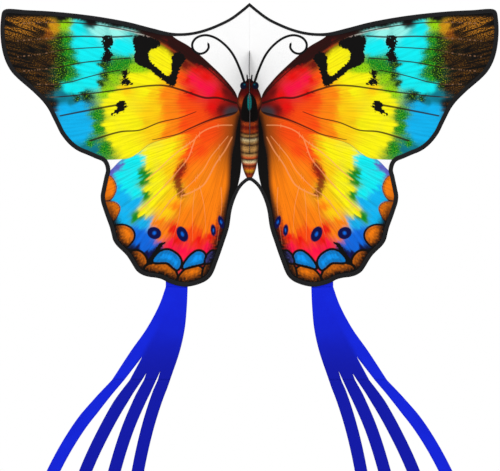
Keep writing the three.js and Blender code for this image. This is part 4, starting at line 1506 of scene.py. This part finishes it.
ARM_START, ARM_END = 5.6, 52
ARM_PROFILE = [(2.25, 0), (4.1, 0), (4.2, 3), (3.7, 6), (3.7, 12), (4.0, 12.6), (4.0, 14.2), (3.7, 14.8),
               (3.7, 19), (4.0, 19.6), (4.0, 21.2), (3.7, 21.8), (3.6, 41), (4.1, 42), (4.25, 43.5),
               (4.1, 45), (3.6, 46.4), (2.25, 46.4), (2.25, 30), (2.25, 15), (2.25, 0)]
bm = bmesh.new()
lathe(bm, ARM_PROFILE, 32, laid(on_rod((ARM_START, SPAR_DOWN)), on_rod((ARM_END, SPAR_DOWN))))
long_edges = [side for side in bm.edges if abs(side.verts[0].co.x - side.verts[1].co.x) > 4 * MM]
bmesh.ops.subdivide_edges(bm, edges=long_edges, cuts=4, use_grid_fill=True)
arm = new_piece("right_flexible_arm", bm, [vinyl], ["right_hub_arm"])
both_sides(arm, bend=("spine", "right_wing", (6.5 * MM, SAIL_Y, 0), (14 * MM, SAIL_Y, 0)))

# %% [markdown]
# ## The keel
# A kite needs to be held in front of its balance point. The keel is a triangle of cloth sewn down the
# centre seam, hemmed along its free edges, with a metal eyelet at its tip where the line is tied. It
# swings a little on the seam. It is cut like the sail, from a grid in the drawing's own units: how far
# behind the tow point, and how far down.

# %% The keel's cloth and hem
SAIL_BACK = SAIL_Y / MM
KEEL_SEAM = SAIL_BACK - 0.5                      # the keel stops just short of the sail
KEEL_TOP, KEEL_END, KEEL_DEEP = 130, -150, 104   # where its two edges aim for, in front of the seam
TIP_RADIUS, EYELET_ROOM = 16, 6.3                # the cloth is cut away this far round the eyelet
tip_from = math.atan2(KEEL_TOP, KEEL_DEEP) + math.pi / 2
tip_to = 1.5 * math.pi - math.atan2(-KEEL_END, KEEL_DEEP)
tip_turns = even(tip_from, tip_to, 0.12)
round_tip = [(TIP_RADIUS * math.cos(turn), -TIP_RADIUS * math.sin(turn)) for turn in tip_turns]


def run_on(start, through):
    """Where the line from the tip through a corner meets the sail."""
    share = (KEEL_SEAM - start[0]) / (through[0] - start[0])
    return (KEEL_SEAM, start[1] + (through[1] - start[1]) * share)


top_corner = run_on(round_tip[0], (KEEL_DEEP, -KEEL_TOP))
low_corner = run_on(round_tip[-1], (KEEL_DEEP, -KEEL_END))


def straight(a, b, step=4):
    count = round(math.dist(a, b) / step)
    return [tuple(np.array(a) + (np.array(b) - a) * i / count) for i in range(count)]


upper, lower = straight(top_corner, round_tip[0]), straight(low_corner, round_tip[-1])
keel_edge = np.array(upper + round_tip + lower[::-1])


def keel_belly(behind, down):
    """How far the keel's cloth bellies to one side, in millimetres."""
    free = max(0, min(1, (SAIL_BACK - behind) / 50)) * min(1, math.hypot(behind, down) / 50)
    return 1.6 * free * math.sin(down / 60 + 0.5)


def on_keel(behind, down, aside=0.0):
    return Vector(((aside + keel_belly(behind, down)) * MM, behind * MM, -down * MM))


bm = cut_cloth(even(-17, SAIL_BACK, 3.5), even(-140, 160, 3.5), keel_edge, on_keel)
hole = [face for face in bm.faces if face.calc_center_median().length < EYELET_ROOM * MM]
bmesh.ops.delete(bm, geom=hole, context="FACES")
bmesh.ops.recalc_face_normals(bm, faces=bm.faces)
keel = thicken(new_piece("keel_cloth_panel", bm, [keel_cloth], ["keel_panel"]), 0.3)
KEEL_BEND = ("spine", "keel", (0, SAIL_Y, 0), (0, SAIL_Y - 8 * MM, 0))
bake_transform(keel, *KEEL_BEND)


def inset_open(route, distance):
    """An open edge moved inwards, towards the seam side of the keel."""
    inwards = distance * across_route(route)
    if inwards[len(route) // 2, 0] < 0:
        inwards = -inwards
    return route + inwards


HEM_SECTION = folded([(6, -0.4), (5.4, -0.55), (3, -0.62), (0.8, -0.55)])
hem = folded_tape("keel_folded_hem", keel_edge, HEM_SECTION, on_keel, [edge_tape],
                  ["keel_hem"], inset_by=inset_open)
thicken(hem, 0.2, offset=-1)
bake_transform(hem, *KEEL_BEND)

bm = bmesh.new()
seam = inset_open(keel_edge, 4.6)
lengths = lengths_along(seam)
spots = even(0, lengths[-1], STITCH + STITCH_GAP)
seam = np.column_stack([np.interp(spots, lengths, seam[:, axis]) for axis in (0, 1)])
for side in (-1, 1):
    sew(bm, [on_keel(*spot, side * 0.66) for spot in seam], Vector((side, 0, 0)))
keel_stitches = new_piece("keel_stitches", bm, [thread])
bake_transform(keel_stitches, *KEEL_BEND)

# %% The tow eyelet
EYELET = [(4.0, -1.3), (4.25, -1.42), (4.65, -1.3), (4.65, 0.55), (7.4, 0.55), (7.9, 0.62), (8.0, 0.85),
          (7.7, 1.1), (6.6, 1.35), (5.3, 1.45), (4.5, 1.25), (4.08, 0.8), (4.0, 0.3), (4.0, -1.3)]
WASHER = [(5.0, -1.4), (7.4, -1.4), (7.9, -1.25), (8.0, -0.95), (7.9, -0.65), (7.4, -0.56), (5.0, -0.56),
          (5.0, -1.4)]
face_right = Matrix.Rotation(math.radians(90), 4, "Y")
for name, profile, node in (("tow_eyelet_ring", EYELET, "tow_eyelet"),
                            ("eyelet_back_ring", WASHER, "eyelet_washer")):
    bm = bmesh.new()
    lathe(bm, profile, 48, face_right)
    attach(new_piece(name, bm, [eyelet_metal], [node]), "keel")

# %% [markdown]
# ## What is cloth
# The flat width and length of each sail and each tail's head, and the flat area of these and of the keel, are
# worked out from their flat maps; nothing keeps the results. The sails are stretched on the rods; the
# streamers hang from the sail.

def extent(piece):
    """The width and length of the flat cloth a piece was cut from."""
    uv = np.array([spot.uv for spot in piece.data.uv_layers["flat"].data])
    return tuple(float(side) for side in np.ptp(uv, axis=0))


for each in sails:
    extent(each)
    flat_area(each)
flat_area(keel)
for each in heads:
    extent(each)
    flat_area(each)
